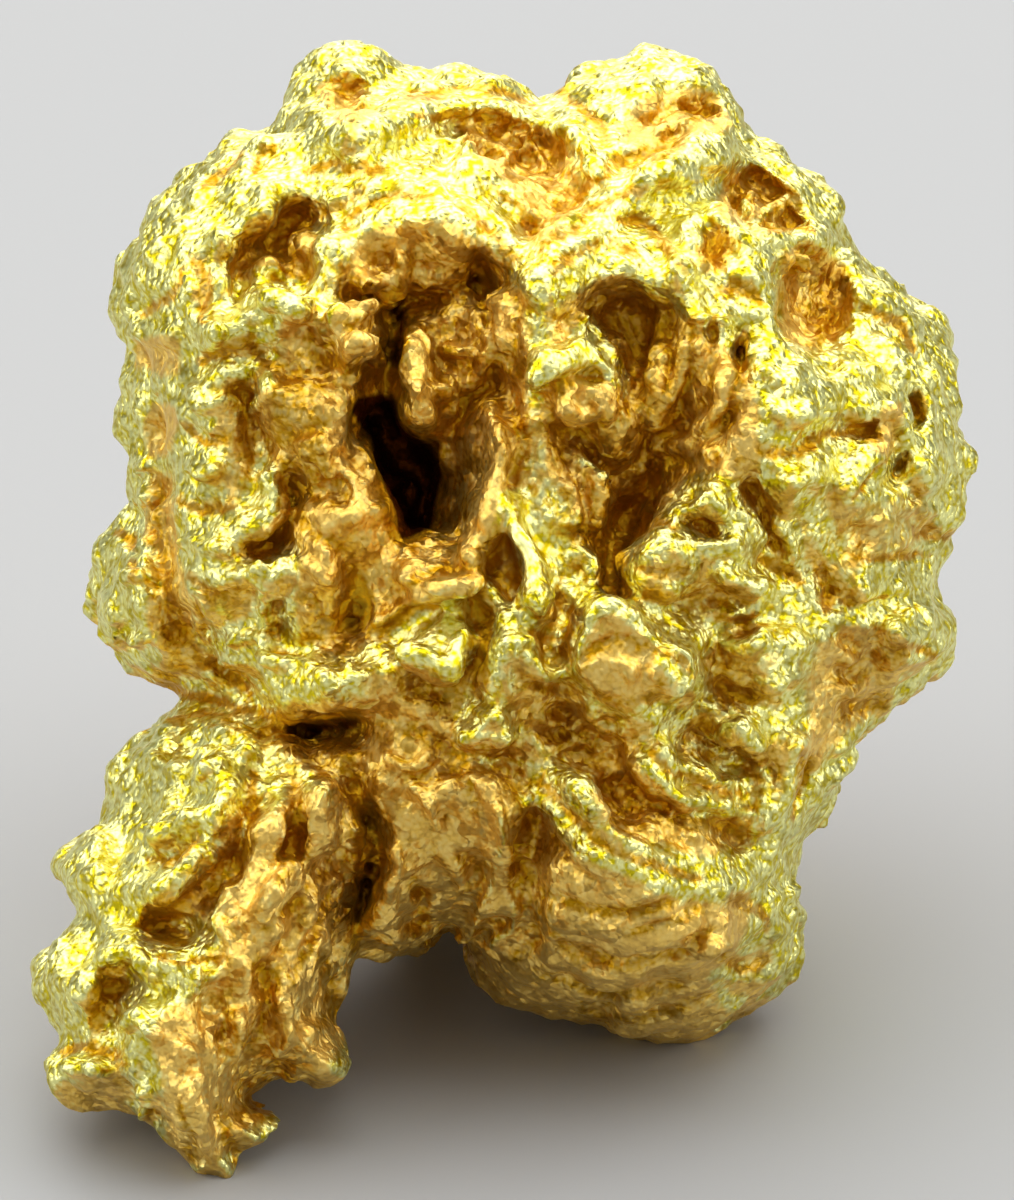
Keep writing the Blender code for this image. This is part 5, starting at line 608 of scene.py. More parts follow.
        ([(4.2, 6.4), (4.6, 6.1), (5.1, 6.0)], 0.12, -0.25),
        ([(1.1, 10.3), (1.4, 9.9), (1.3, 9.3)], 0.12, 0.22),
        ([(1.8, 10.4), (2.0, 9.9), (1.8, 9.2)], 0.12, 0.22),
        ([(1.3, 8.9), (1.7, 8.6), (1.8, 8.1)], 0.12, 0.22),
        ([(1.4, 9.4), (1.7, 9.3), (1.9, 9.0)], 0.1, -0.3),
    ],
    "disc and petal": [
        ([(1.65, 7.4), (1.85, 7.75), (2.3, 7.8), (2.8, 7.55)], 0.12, 0.2),
        ([(1.55, 6.7), (1.9, 7.1), (2.4, 7.2), (2.9, 6.9)], 0.1, -0.16),
        ([(1.95, 6.1), (2.4, 5.9), (2.9, 6.0), (3.2, 6.4)], 0.1, -0.16),
        ([(2.1, 6.8), (2.5, 6.6), (2.4, 6.3)], 0.12, 0.18),
        ([(3.0, 7.0), (3.4, 6.8), (3.7, 6.4)], 0.1, -0.18),
        ([(0.1, 6.9), (0.4, 7.2), (0.7, 7.1)], 0.1, 0.2),
        ([(0.5, 6.5), (0.8, 6.3), (1.2, 6.2)], 0.1, -0.25),
        ([(0.6, 5.6), (1.1, 5.7), (1.6, 5.5)], 0.12, 0.22),
        ([(0.9, 5.1), (1.4, 5.1), (2.0, 5.2)], 0.12, 0.22),
        ([(1.7, 6.0), (2.0, 5.6), (2.5, 5.3)], 0.12, 0.2),
        ([(-0.7, 5.2), (-0.2, 5.4), (0.3, 5.3)], 0.13, 0.2),
        ([(-0.6, 5.9), (-0.2, 5.7), (0.1, 5.8)], 0.11, 0.2),
        ([(-1.0, 6.6), (-0.8, 7.1), (-0.65, 7.8)], 0.09, 0.12),
        ([(-1.75, 7.0), (-1.3, 6.8), (-0.9, 6.6)], 0.11, 0.15),
        ([(-2.6, 7.4), (-1.8, 7.9), (-1.0, 8.3)], 0.14, 0.2),
        ([(-1.7, 8.3), (-1.2, 8.6), (-0.7, 8.6)], 0.12, -0.16),
    ],
    "lips": [
        ([(2.9, 5.0), (3.3, 4.6), (4.0, 4.3), (4.8, 4.15)], 0.12, -0.12),
        ([(3.6, 5.2), (4.2, 5.1), (4.8, 4.8)], 0.12, 0.22),
        ([(4.3, 5.35), (4.75, 5.5), (5.15, 5.0)], 0.11, 0.22),
        ([(0.8, 4.4), (1.4, 3.7), (2.1, 3.1), (3.0, 2.8), (4.0, 2.5)], 0.12, -0.12),
        ([(1.3, 4.4), (1.65, 4.1), (1.9, 3.6)], 0.1, 0.22),
        ([(2.4, 4.1), (2.9, 3.8), (3.5, 3.7)], 0.12, 0.25),
        ([(2.6, 3.6), (3.3, 3.4), (4.1, 3.3)], 0.12, 0.25),
        ([(3.7, 3.6), (4.3, 3.5), (4.7, 3.4)], 0.1, -0.2),
        ([(5.0, 3.3), (5.2, 3.9), (5.2, 4.6)], 0.12, 0.2),
        ([(5.8, 3.6), (5.9, 4.3), (6.05, 5.0)], 0.1, -0.3),
        ([(6.0, 2.9), (6.25, 3.2), (6.5, 3.5)], 0.1, 0.25),
        ([(6.9, 5.2), (6.85, 4.8), (6.4, 4.3)], 0.12, 0.2),
        ([(5.2, 2.2), (5.6, 2.1), (5.9, 2.3)], 0.13, 0.2),
    ],
    "lobe": [
        ([(0.9, 2.3), (1.6, 2.0), (2.4, 1.9), (3.4, 2.0)], 0.12, -0.2),
        ([(1.0, 1.5), (1.5, 1.15), (2.1, 0.9), (2.9, 0.85), (3.6, 1.05), (4.2, 1.4)], 0.12, -0.3),
        ([(1.2, 1.15), (1.8, 0.75), (2.4, 0.7), (3.1, 0.7)], 0.1, 0.2),
        ([(0.7, 0.6), (1.5, 0.4), (2.2, 0.15), (2.9, 0.2), (3.7, 0.5)], 0.12, -0.28),
        ([(1.6, -0.1), (2.4, -0.3), (3.3, -0.2), (4.1, 0.1)], 0.12, -0.25),
        ([(2.6, 1.5), (3.3, 1.6), (4.0, 1.9)], 0.12, -0.18),
        ([(3.4, 1.2), (4.0, 1.1), (4.7, 1.3)], 0.12, 0.2),
        ([(4.4, 0.9), (4.8, 0.6), (5.3, 0.8)], 0.13, -0.2),
        ([(4.6, 2.2), (5.1, 1.9), (5.4, 1.4)], 0.13, -0.2),
        ([(0.2, 0.9), (0.7, 1.3), (0.9, 1.9)], 0.13, -0.22),
        ([(1.9, 2.5), (2.6, 2.2), (3.4, 2.2)], 0.1, 0.16),
    ],
    "middle": [
        ([(-0.1, 4.0), (0.0, 3.3), (0.2, 2.9)], 0.12, 0.25),
        ([(-0.2, 2.4), (-0.35, 1.9), (-0.8, 1.3)], 0.1, 0.25),
        ([(0.3, 3.2), (0.35, 2.8), (0.5, 2.4)], 0.09, -0.35),
        ([(-1.4, 3.0), (-0.9, 2.8), (-0.6, 2.2)], 0.13, 0.25),
        ([(-2.7, 1.3), (-2.3, 2.0), (-2.0, 2.8), (-2.2, 3.4)], 0.12, 0.25),
        ([(-1.9, 4.4), (-1.4, 4.0), (-1.2, 3.4)], 0.13, 0.25),
        ([(-1.0, 4.8), (-0.6, 4.4), (-0.5, 3.8)], 0.13, -0.25),
        ([(-2.3, 4.9), (-1.7, 4.7), (-1.2, 5.0)], 0.13, 0.25),
        ([(-1.7, 2.4), (-1.5, 1.9), (-1.7, 1.4)], 0.12, -0.25),
        ([(-2.1, 6.1), (-1.6, 5.8), (-1.1, 5.9)], 0.13, 0.22),
        ([(-1.8, 5.4), (-1.2, 5.3), (-0.8, 4.9)], 0.12, -0.22),
        ([(-0.2, 1.2), (0.2, 1.6), (0.3, 2.2)], 0.12, 0.22),
    ],
    "left columns": [
        ([(-6.2, 12.3), (-5.8, 11.9), (-5.4, 12.0)], 0.13, 0.22),
        ([(-6.2, 11.5), (-5.8, 11.2), (-5.3, 11.3)], 0.13, -0.2),
        ([(-6.2, 10.8), (-5.8, 10.5), (-5.4, 10.7)], 0.13, 0.22),
        ([(-6.3, 10.0), (-5.8, 9.8), (-5.3, 9.9)], 0.13, -0.2),
        ([(-6.2, 9.3), (-5.8, 9.0), (-5.3, 9.1)], 0.13, 0.22),
        ([(-6.1, 8.5), (-5.7, 8.1), (-5.3, 8.2)], 0.13, -0.2),
        ([(-5.2, 9.2), (-4.75, 9.6), (-4.45, 10.0), (-4.5, 10.4), (-4.3, 10.8)], 0.12, 0.25),
        ([(-4.9, 8.6), (-4.5, 8.4), (-4.2, 8.7)], 0.1, 0.25),
        ([(-4.5, 8.1), (-4.6, 7.8), (-4.5, 7.4)], 0.1, 0.25),
        ([(-6.05, 8.0), (-5.9, 7.6), (-5.8, 7.3)], 0.09, -0.3),
        ([(-4.4, 12.2), (-3.9, 12.0), (-3.4, 12.2)], 0.13, 0.22),
        ([(-4.3, 11.4), (-3.8, 11.3), (-3.3, 11.5)], 0.13, -0.22),
        ([(-3.6, 10.6), (-3.2, 10.6), (-2.8, 10.2), (-2.9, 9.7), (-3.4, 9.5)], 0.13, 0.25),
        ([(-3.9, 9.6), (-3.6, 9.2), (-3.1, 9.1)], 0.12, -0.2),
        ([(-4.0, 8.8), (-3.6, 8.6), (-3.3, 8.2)], 0.12, 0.2),
        ([(-3.9, 8.0), (-3.5, 7.8), (-3.3, 7.4)], 0.12, -0.2),
        ([(-2.9, 11.2), (-2.65, 10.6), (-2.6, 10.0), (-2.7, 9.5)], 0.1, 0.2),
        ([(-7.7, 9.3), (-7.3, 9.1), (-7.3, 8.4)], 0.11, -0.25),
        ([(-7.6, 8.2), (-7.3, 8.4), (-7.0, 8.5)], 0.11, 0.22),
        ([(-7.7, 7.4), (-7.3, 7.2), (-6.9, 7.3)], 0.12, 0.22),
        ([(-7.2, 10.6), (-7.0, 10.7), (-6.8, 10.6)], 0.12, 0.25),
        ([(-7.1, 10.2), (-6.8, 9.8), (-6.9, 9.3)], 0.11, 0.22),
        ([(-3.6, 6.3), (-3.4, 6.35), (-3.3, 6.2)], 0.17, 0.3),
        ([(-3.1, 6.4), (-2.9, 6.45), (-2.75, 6.3)], 0.17, 0.3),
        ([(-4.9, 6.9), (-4.3, 6.7), (-3.7, 6.7)], 0.13, 0.22),
        ([(-5.4, 7.5), (-4.9, 7.2), (-4.4, 7.1)], 0.13, 0.22),
        ([(-6.0, 6.7), (-5.4, 6.6), (-4.9, 6.2)], 0.13, -0.25),
    ],
    "leg": [
        ([(-7.0, 3.4), (-6.5, 3.4), (-6.1, 3.7), (-5.6, 3.9)], 0.12, 0.22),
        ([(-7.0, 2.2), (-6.4, 2.4), (-5.7, 3.2)], 0.12, 0.22),
        ([(-7.0, 2.9), (-6.4, 2.9), (-5.9, 3.3)], 0.1, -0.25),
        ([(-5.9, 4.3), (-5.6, 4.6), (-5.3, 4.85)], 0.11, 0.25),
        ([(-5.1, 4.0), (-4.85, 4.2), (-4.6, 4.35)], 0.11, 0.2),
        ([(-5.8, 5.3), (-5.2, 5.2), (-4.7, 4.9)], 0.13, 0.2),
        ([(-7.0, 5.0), (-6.6, 4.6), (-6.1, 4.6)], 0.13, 0.2),
        ([(-3.0, 3.5), (-2.75, 3.4), (-2.5, 3.5)], 0.06, 0.2),
        ([(-3.05, 3.25), (-2.8, 3.15), (-2.5, 3.25)], 0.06, 0.2),
        ([(-3.1, 3.0), (-2.8, 2.9), (-2.55, 3.0)], 0.06, 0.2),
        ([(-3.1, 2.75), (-2.85, 2.65), (-2.6, 2.7)], 0.06, 0.2),
        ([(-4.0, 2.9), (-4.5, 2.2), (-4.9, 1.7)], 0.12, 0.25),
        ([(-3.9, 2.2), (-4.3, 1.8), (-4.7, 1.5)], 0.1, -0.25),
        ([(-3.3, 2.2), (-3.6, 1.5), (-4.1, 0.5)], 0.11, -0.3),
        ([(-3.5, 1.0), (-3.35, 0.3), (-3.4, -0.4)], 0.12, -0.25),
        ([(-5.2, 2.4), (-5.5, 1.7), (-5.3, 1.1)], 0.12, 0.22),
        ([(-6.7, 1.0), (-6.0, 0.9), (-5.5, 1.0)], 0.1, -0.35),
        ([(-8.0, 0.8), (-7.4, 1.1), (-6.9, 0.75)], 0.12, 0.2),
        ([(-6.8, 0.85), (-6.2, 0.75), (-6.0, 0.55), (-6.2, 0.1)], 0.12, 0.25),
        ([(-8.0, 0.3), (-7.7, 0.25), (-7.4, 0.4)], 0.14, -0.3),
        ([(-7.6, -0.4), (-7.0, -0.2), (-6.6, -0.6)], 0.13, 0.22),
        ([(-8.6, -0.9), (-8.0, -0.8), (-7.4, -1.1)], 0.13, -0.25),
        ([(-8.7, -1.3), (-8.2, -1.2), (-7.7, -1.4)], 0.12, 0.2),
        ([(-7.1, -1.4), (-6.9, -1.9), (-7.1, -2.3)], 0.13, 0.2),
        ([(-6.4, -0.6), (-6.0, -1.2), (-6.1, -1.9)], 0.12, 0.25),
        ([(-5.3, 0.2), (-5.2, -0.6), (-5.5, -1.3)], 0.13, 0.25),
        ([(-4.8, 0.9), (-4.6, 0.1), (-4.9, -0.7)], 0.13, -0.22),
        ([(-4.3, 0.2), (-4.2, -0.5), (-4.5, -1.0)], 0.12, 0.22),
        ([(-6.3, -2.0), (-6.1, -2.5), (-6.1, -3.0)], 0.12, -0.2),
        ([(-5.5, -2.0), (-5.35, -2.6), (-5.3, -3.2)], 0.1, -0.3),
        ([(-3.9, -0.6), (-3.5, -0.5), (-3.2, -0.8)], 0.12, 0.14),
    ],
}

# Where the metal is smoother than elsewhere: a place, its reach, and how much of the grain stays.
nugget["smoothPlaces"] = [
    ((-1.2, 7.35), 0.7, 0.05), ((1.55, 12.8), 0.6, 0.3), ((0.5, 9.0), 0.5, 0.15), ((-0.5, 10.3), 1.3, 0.25),
    ((0.5, 9.0), 0.7, 0.4), ((-1.1, 7.3), 0.8, 0.3), ((2.4, 6.7), 1.1, 0.5), ((-3.5, 9.3), 0.7, 0.4),
    ((-2.0, 10.5), 1.0, 0.4), ((2.5, 13.0), 0.8, 0.5), ((-3.5, -1.0), 0.7, 0.5), ((-2.5, 14.9), 0.6, 0.5),
    ((3.0, 1.0), 2.2, 0.8),
]

# The back is a calmer side of the same growth.
nugget["backForms"] = {
    "back hump": ((1.5, 11.5), (4.2, 4.8), 15, 1.1, 0.3),
    "back left hump": ((-4.6, 12.5), (2.4, 3.4), -10, 0.8, 0.4),
    "back lower hump": ((2.8, 5.2), (3.2, 2.4), 10, 1.0, 0.4),
    "back deep hollow": ((-1.6, 9.2), (1.3, 1.9), 25, -2.3, 0.7),
    "back top hollow": ((0.9, 15.8), (1.6, 1.0), -15, -1.6, 0.7),
    "back side hollow": ((5.6, 9.4), (1.0, 1.7), 20, -1.6, 0.6),
    "back left hollow": ((-5.2, 8.6), (0.9, 1.3), -15, -1.4, 0.6),
    "back pocket": ((3.0, 14.2), (0.8, 0.7), 0, -1.2, 0.7),
    "back small pocket": ((-3.0, 15.0), (0.7, 0.9), 30, -1.1, 0.7),
    "hind left foot": ((-1.5, 2.5), (1.25, 1.3), 0, 4.9, 0.6),
    "hind right foot": ((3.7, 2.5), (1.5, 1.3), 0, 3.9, 0.6),
    "back leg lump": ((-6.0, 2.4), (1.5, 1.7), 10, 0.8, 0.5),
    "back toe lump": ((-6.6, -0.9), (1.2, 1.0), 0, 0.6, 0.5),
    "back knuckle": ((6.9, 12.8), (1.1, 1.2), 0, 0.8, 0.6),
    "back crown": ((3.4, 17.2), (1.1, 0.9), 0, 0.7, 0.6),
    "back shoulder": ((-3.6, 17.0), (1.4, 0.9), 15, 0.7, 0.6),
}

nugget["backFolds"] = {
    "back arch": ([(-4.0, 7.6), (-3.6, 9.4), (-3.0, 11.2), (-1.8, 12.2), (-0.4, 12.0), (0.4, 10.8),
        (0.4, 9.2), (-0.2, 7.8)], 0.8, 0.6, 1.2),
    "back rim": ([(-1.0, 15.2), (0.0, 16.8), (1.4, 17.0), (2.6, 16.2), (3.6, 15.4),
        (4.6, 15.6)], 0.6, 0.7, 1.0),
    "back right fold": ([(4.0, 12.6), (4.4, 11.0), (4.2, 9.4), (4.6, 7.8), (5.6, 6.8)], 0.7, 0.6, 1.1),
    "back flank fold": ([(6.9, 11.6), (7.0, 10.2), (6.8, 8.8), (7.2, 7.6)], 0.6, 0.6, 0.9),
    "back left fold": ([(-6.4, 13.0), (-6.3, 11.4), (-6.4, 9.8), (-6.3, 8.2), (-5.6, 6.8)], 0.6, 0.6, 0.9),
    "back lip": ([(-0.6, 5.6), (0.6, 4.6), (2.0, 4.2), (3.4, 4.5), (4.6, 5.4)], 0.7, 0.5, 1.0),
    "back low lip": ([(0.6, 3.0), (2.0, 2.4), (3.6, 2.5), (4.8, 3.2)], 0.5, 0.5, 0.7),
    "back crossing": ([(-4.8, 15.4), (-3.6, 13.9), (-2.2, 13.6), (-0.9, 14.2)], 0.5, 0.5, 0.8),
    "back neck": ([(-6.6, 6.1), (-5.4, 5.6), (-4.2, 5.4), (-3.0, 4.6)], 0.7, 0.7, -1.3),
    "back leg fold": ([(-7.6, 3.6), (-6.6, 2.2), (-6.4, 0.6), (-6.0, -0.8)], 0.5, 0.6, 0.6),
    "back crevice": ([(1.6, 13.8), (2.0, 12.2), (2.4, 10.4), (2.2, 8.6)], 0.35, 0.35, -1.3),
}

# The feet that the nugget stands on: across and depth on the table, and half widths.
nugget["feet"] = {
    "leg tip": ((-5.7, -6.3), (1.0, 0.8)),
    "lobe": ((3.0, 0.0), (1.8, 0.8)),
    "hind left": ((-1.5, 6.9), (1.2, 1.1)),
    "hind right": ((3.7, 6.6), (1.2, 1.1)),
}


def smoothLine(points, step=0.3, closed=False):  # a curve through the points
    points = np.array(points, float)
    count = len(points)
    line = []
    for i in range(count if closed else count - 1):
        before = points[i - 1] if closed or i else points[0]
        start = points[i]
        end = points[(i + 1) % count]
        after = points[(i + 2) % count] if closed or i + 2 < count else points[-1]
        pieces = max(2, math.ceil(np.linalg.norm(end - start) / step))
        for t in np.arange(pieces) / pieces:
            line.append(
                0.5 * (2 * start + (end - before) * t
                       + (2 * before - 5 * start + 4 * end - after) * t ** 2
                       + (3 * start - before - 3 * end + after) * t ** 3)
            )
    if not closed:
        line.append(points[-1])
    return np.array(line)


def lineDistance(x, z, line):  # distance to a line, the side (1 is left) and how far along it
    nearest = np.full(len(x), np.inf)
    side = np.ones(len(x))
    along = np.zeros(len(x))
    travelled = 0.0
    for start, end in zip(line[:-1], line[1:]):
        run = end - start
        length = np.hypot(*run)
        t = np.clip(((x - start[0]) * run[0] + (z - start[1]) * run[1]) / length ** 2, 0, 1)
        offX = x - start[0] - t * run[0]
        offZ = z - start[1] - t * run[1]
        distance = np.hypot(offX, offZ)
        closer = distance < nearest
        nearest[closer] = distance[closer]
        side[closer] = np.where(run[0] * offZ - run[1] * offX >= 0, 1, -1)[closer]
        along[closer] = (travelled + t * length)[closer]
        travelled += length
    return nearest, side, along / travelled


def insideLine(x, z, line):
    inside = np.zeros(len(x), bool)
    for (ax, az), (bx, bz) in zip(line, np.roll(line, -1, axis=0)):
        if az != bz:
            inside ^= ((az > z) != (bz > z)) & (x < (bx - ax) * (z - az) / (bz - az) + ax)
    return inside


def nearLine(x, z, line, pad):
    near = (x > line[:, 0].min() - pad) & (x < line[:, 0].max() + pad)
    return near & (z > line[:, 1].min() - pad) & (z < line[:, 1].max() + pad)


def insideShare(x, z, line, wall):  # 0 outside a closed line, rising to 1 over a wall inside it
    near = nearLine(x, z, line, 0.0)
    share = np.zeros(len(x))
    if near.any():
        inside = insideLine(x[near], z[near], line)
        distance, _, _ = lineDistance(x[near], z[near], np.vstack([line, line[:1]]))
        share[near] = np.where(inside, np.clip(distance / wall, 0, 1), 0)
    return share


def rounded(share):  # steep at the foot and level at the top
    return 1 - (1 - share) ** 2


def formHeight(x, z, place, widths, turn, rise, firmness):
    angle = math.radians(turn)
    dx = x - place[0]
    dz = z - place[1]
    u = (dx * math.cos(angle) + dz * math.sin(angle)) / widths[0]
    v = (dz * math.cos(angle) - dx * math.sin(angle)) / widths[1]
    softFoot, firmer = nugget["formFoot"]
    r = np.sqrt(u * u + v * v) / (softFoot - firmer * firmness)
    return rise * np.clip(1 - r ** (2 + 2 * firmness), 0, 1) ** (2 - firmness)


def foldHeight(x, z, points, left, right, rise, ends=nugget["foldEnd"]):
    line = smoothLine(points)
    near = nearLine(x, z, line, 2.2 * max(left, right))
    height = np.zeros(len(x))
    if near.any():
        distance, side, along = lineDistance(x[near], z[near], line)
        width = nugget["foldSlope"] * np.where(side > 0, left, right)
        profile = np.clip(1 - (distance / width) ** 2, 0, 1) ** nugget["foldRound"]
        fade = np.clip(np.minimum(along, 1 - along) / nugget["foldFade"], ends, 1)
        height[near] = nugget["foldStrength"] * rise * profile * fade
    return height


def hollowHeight(x, z, points, depth, wall):
    line = smoothLine(points, 0.2, closed=True)
    return -depth * rounded(insideShare(x, z, line, wall))


def facetHeight(x, z, points, rise, edge, tilts):
    line = smoothLine(points, 0.15, closed=True)
    middle = line.mean(axis=0)
    top = rise + tilts[0] * (x - middle[0]) + tilts[1] * (z - middle[1])
    return top * rounded(insideShare(x, z, line, edge))


def frontRelief(x, z):
    height = np.zeros(len(x))
    for facet in nugget["facets"].values():
        height += facetHeight(x, z, *facet)
    for hollow in nugget["hollows"].values():
        height += hollowHeight(x, z, *hollow)
    for form in nugget["frontForms"].values():
        height += formHeight(x, z, *form)
    for fold in nugget["frontFolds"].values():
        height += foldHeight(x, z, *fold)
    limit = np.where(height > 0, nugget["reliefOut"], nugget["reliefIn"])
    return limit * np.tanh(height / limit)


def backRelief(x, z):
    height = np.zeros(len(x))
    chance = random.Random(nugget["pitSeed"])
    for _ in range(nugget["pitCount"]):
        place = (chance.uniform(-6.5, 7.5), chance.uniform(3.5, 17.5))
        widths = (chance.uniform(0.3, 0.6), chance.uniform(0.35, 0.8))
        height += formHeight(x, z, place, widths, chance.uniform(-60, 60), chance.uniform(-1.0, -0.5), 0.6)
    for form in nugget["backForms"].values():
        height += formHeight(x, z, *form)
    for fold in nugget["backFolds"].values():
        height += foldHeight(x, z, *fold)
    return height


noisePlaces = [Vector(place) for place in nugget["noisePlaces"]]


def noiseShift(p):  # noise with three parts, each read at a place of its own
    return Vector([noise.noise(p + place) for place in noisePlaces])


def wander(co, scale, amount, seed):  # a smooth random shift
    offset = Vector((seed, 2.3 * seed, -1.7 * seed))
    return amount * np.array([noiseShift(Vector(c) / scale + offset) for c in co])


def drift(co):  # moves the drawn lines a little, so that no form looks drawn
    return sum(wander(co, *bend) for bend in nugget["drift"])


def growth(co, scale, seed):  # rounded swellings that meet in creases, about -0.5 to 0.5
    bend, bendSize, gain, level = 0.35, 1.3, 1.6, 0.5
    offset = Vector((seed, -seed, 0.5 * seed))
    values = []
    for c in co:
        p = Vector(c) / scale + offset
        p += bend * noiseShift(bendSize * p)
        values.append(sum(share * abs(noise.noise(finer * p)) for finer, share in nugget["octaves"]))
    return gain * np.array(values) - level


def ridges(co, scale, seed):  # thin ridges between flatter faces, about -0.5 to 0.5
    bend, bendSize, narrow, gain, level = 0.4, 1.7, 2.2, 0.7, 0.45
    finer, finerShare = 2.3, 0.4
    offset = Vector((-seed, seed, 0.7 * seed))
    values = []
    for c in co:
        p = Vector(c) / scale + offset
        p += bend * noiseShift(bendSize * p)
        first = 1 - abs(noise.noise(p)) * narrow
        second = 1 - abs(noise.noise(finer * p + offset)) * narrow
        values.append(max(first, 0) ** 2 + finerShare * max(second, 0) ** 2)
    return gain * np.array(values) - level


def patches(co, scale, seed):  # small faces of every tilt that meet in ridges
    bend, tiltSpread, riseSpread, bowl = 0.25, 0.5, 0.35, 0.55
    p = (co + wander(co, 0.8 * scale, bend * scale, seed)) / scale
    cells = np.floor(p).astype(int)
    low = cells.min(axis=0) - 1
    size = cells.max(axis=0) - low + 2
    chance = np.random.RandomState(seed)
    places = chance.uniform(0.1, 0.9, (*size, 3))
    tilts = chance.normal(0, tiltSpread, (*size, 3))
    rises = chance.uniform(0, riseSpread, tuple(size))
    height = np.full(len(co), np.inf)
    for step in itertools.product((-1, 0, 1), repeat=3):
        near = tuple((cells - low + step).T)
        away = p - (cells + step + places[near])
        face = rises[near] + (tilts[near] * away).sum(axis=1) + bowl * (away ** 2).sum(axis=1)
        height = np.minimum(height, face)
    return scale * (height - height.mean())


skinMakers = {"growth": growth, "ridges": ridges, "patches": patches}


def makeSlab(outline):
    bm = bmesh.new()
    rim = [bm.verts.new((x, -nugget["slabHalf"], z)) for x, z in outline]
    face = bm.faces.new(rim)
    extruded = bmesh.ops.extrude_face_region(bm, geom=[face])["geom"]
    moved = [item for item in extruded if isinstance(item, bmesh.types.BMVert)]
    bmesh.ops.translate(bm, verts=moved, vec=(0, 2 * nugget["slabHalf"], 0))
    bmesh.ops.recalc_face_normals(bm, faces=bm.faces)
    mesh = bpy.data.meshes.new("goldNugget")
    bm.to_mesh(mesh)
    bm.free()
    piece = bpy.data.objects.new("goldNugget", mesh)
    bpy.context.scene.collection.objects.link(piece)
    return piece


def applyModifier(piece, kind, **settings):
    modifier = piece.modifiers.new(kind.title(), kind)
    for name, value in settings.items():
        setattr(modifier, name, value)
    graph = bpy.context.evaluated_depsgraph_get()
    made = bpy.data.meshes.new_from_object(piece.evaluated_get(graph))
    piece.modifiers.clear()
    old = piece.data
    piece.data = made
    bpy.data.meshes.remove(old)
    made.name = "goldNugget"


def readCo(piece):
    flat = np.empty(3 * len(piece.data.vertices))
    piece.data.vertices.foreach_get("co", flat)
    return flat.reshape(-1, 3)


def readNormals(piece):
    flat = np.empty(3 * len(piece.data.vertices))
    piece.data.vertex_normals.foreach_get("vector", flat)
    return flat.reshape(-1, 3)


def writeCo(piece, co):
    piece.data.vertices.foreach_set("co", co.ravel())
    piece.data.update()


def besideBody(x):  # 0 under the body, rising to 1 across to the leg
    return np.clip((nugget["legSide"] - x) / nugget["legBlend"], 0, 1)


def edgeDepth(x, z):  # where the front and the back meet
    depth = -nugget["legForward"] * np.clip(nugget["legTop"] - z, 0, None) * besideBody(x)
    for (px, pz), reach, shift in nugget["edgeShifts"]:
        depth += shift * np.exp(-((x - px) ** 2 + (z - pz) ** 2) / reach ** 2)
    return depth


def swell(piece, outline):
    co = readCo(piece)
    x, y, z = co.T
    distance, _, _ = lineDistance(x, z, np.vstack([outline, outline[:1]]))
    distance[~insideLine(x, z, outline)] = 0
    share = np.clip(distance / nugget["edgeRound"], 0, 1)
    dome = np.sqrt(1 - (1 - share) ** 2)
    rim = np.clip(distance / nugget["reliefRim"], 0, 1)
    shift = drift(co)
    wx = x + shift[:, 0]
    wz = z + shift[:, 2]
    middle = edgeDepth(x, z)
    legShare = np.clip((nugget["legTop"] - z) / nugget["legLength"], 0, 1) * besideBody(x)  # 1 at its tip
    fullness = 1 - nugget["legTaper"] * legShare
    front = middle - nugget["frontDepth"] * fullness * dome - rim * frontRelief(wx, wz)
    back = middle + nugget["backDepth"] * dome + rim * backRelief(wx, wz)
    t = np.clip((y / nugget["slabHalf"] + 1) / 2, 0, 1)
    co[:, 1] = (1 - t) * front + t * back
    writeCo(piece, co)


def roughen(piece):  # swellings and creases: strong at the back and the sides, light on the front
    co = readCo(piece)
    normals = readNormals(piece)
    facing = np.clip(-normals[:, 1], 0, 1)
    behind = np.clip(normals[:, 1], 0, 1)
    amount = nugget["swellSide"] + nugget["swellFront"] * facing + nugget["swellBack"] * behind
    swelling = sum(share * growth(co, scale, seed) for scale, share, seed in nugget["swellings"])
    shift = amount * (swelling - nugget["swellLevel"])
    writeCo(piece, co + normals * shift[:, None])


def smoothShare(x, z, facing):  # 1 where the grain is full, less at the smoother places of the front
    share = np.ones(len(x))
    for (px, pz), reach, keep in nugget["smoothPlaces"]:
        near = np.exp(-((x - px) ** 2 + (z - pz) ** 2) / reach ** 2)
        share *= 1 - (1 - keep) * near * np.clip(2 * facing, 0, 1)
    return share


def addFineFolds(piece):
    co = readCo(piece)
    normals = readNormals(piece)
    shift = drift(co)
    facing = np.clip(-1.6 * normals[:, 1] + 0.2, 0, 1)  # full well before a face looks straight forward
    x = co[:, 0] + shift[:, 0]
    z = co[:, 2] + shift[:, 2]
    height = np.zeros(len(x))
    for strokes in nugget["fineFolds"].values():
        for points, width, rise in strokes:
            rise *= nugget["fineGroove"] if rise < 0 else 1
            height += foldHeight(x, z, points, width, width, rise, nugget["fineFoldEnd"])
    writeCo(piece, co + normals * (facing * height)[:, None])


def crumple(piece):
    co = readCo(piece)
    normals = readNormals(piece)
    facing = np.clip(-normals[:, 1], 0, 1)
    height = np.zeros(len(co))
    for kind, scale, strength, seed in nugget["skin"]:
        height += strength * skinMakers[kind](co, scale, seed)
    height *= smoothShare(co[:, 0], co[:, 2], facing)
    writeCo(piece, co + normals * height[:, None])


def leanBack(piece):
    lean = math.radians(nugget["leanDegrees"])
    piece.data.transform(Matrix.Rotation(-lean, 4, "X"))
    piece.data.transform(Matrix.Translation((0, 0, nugget["tableDepth"] * math.sin(lean))))
    piece.data.update()


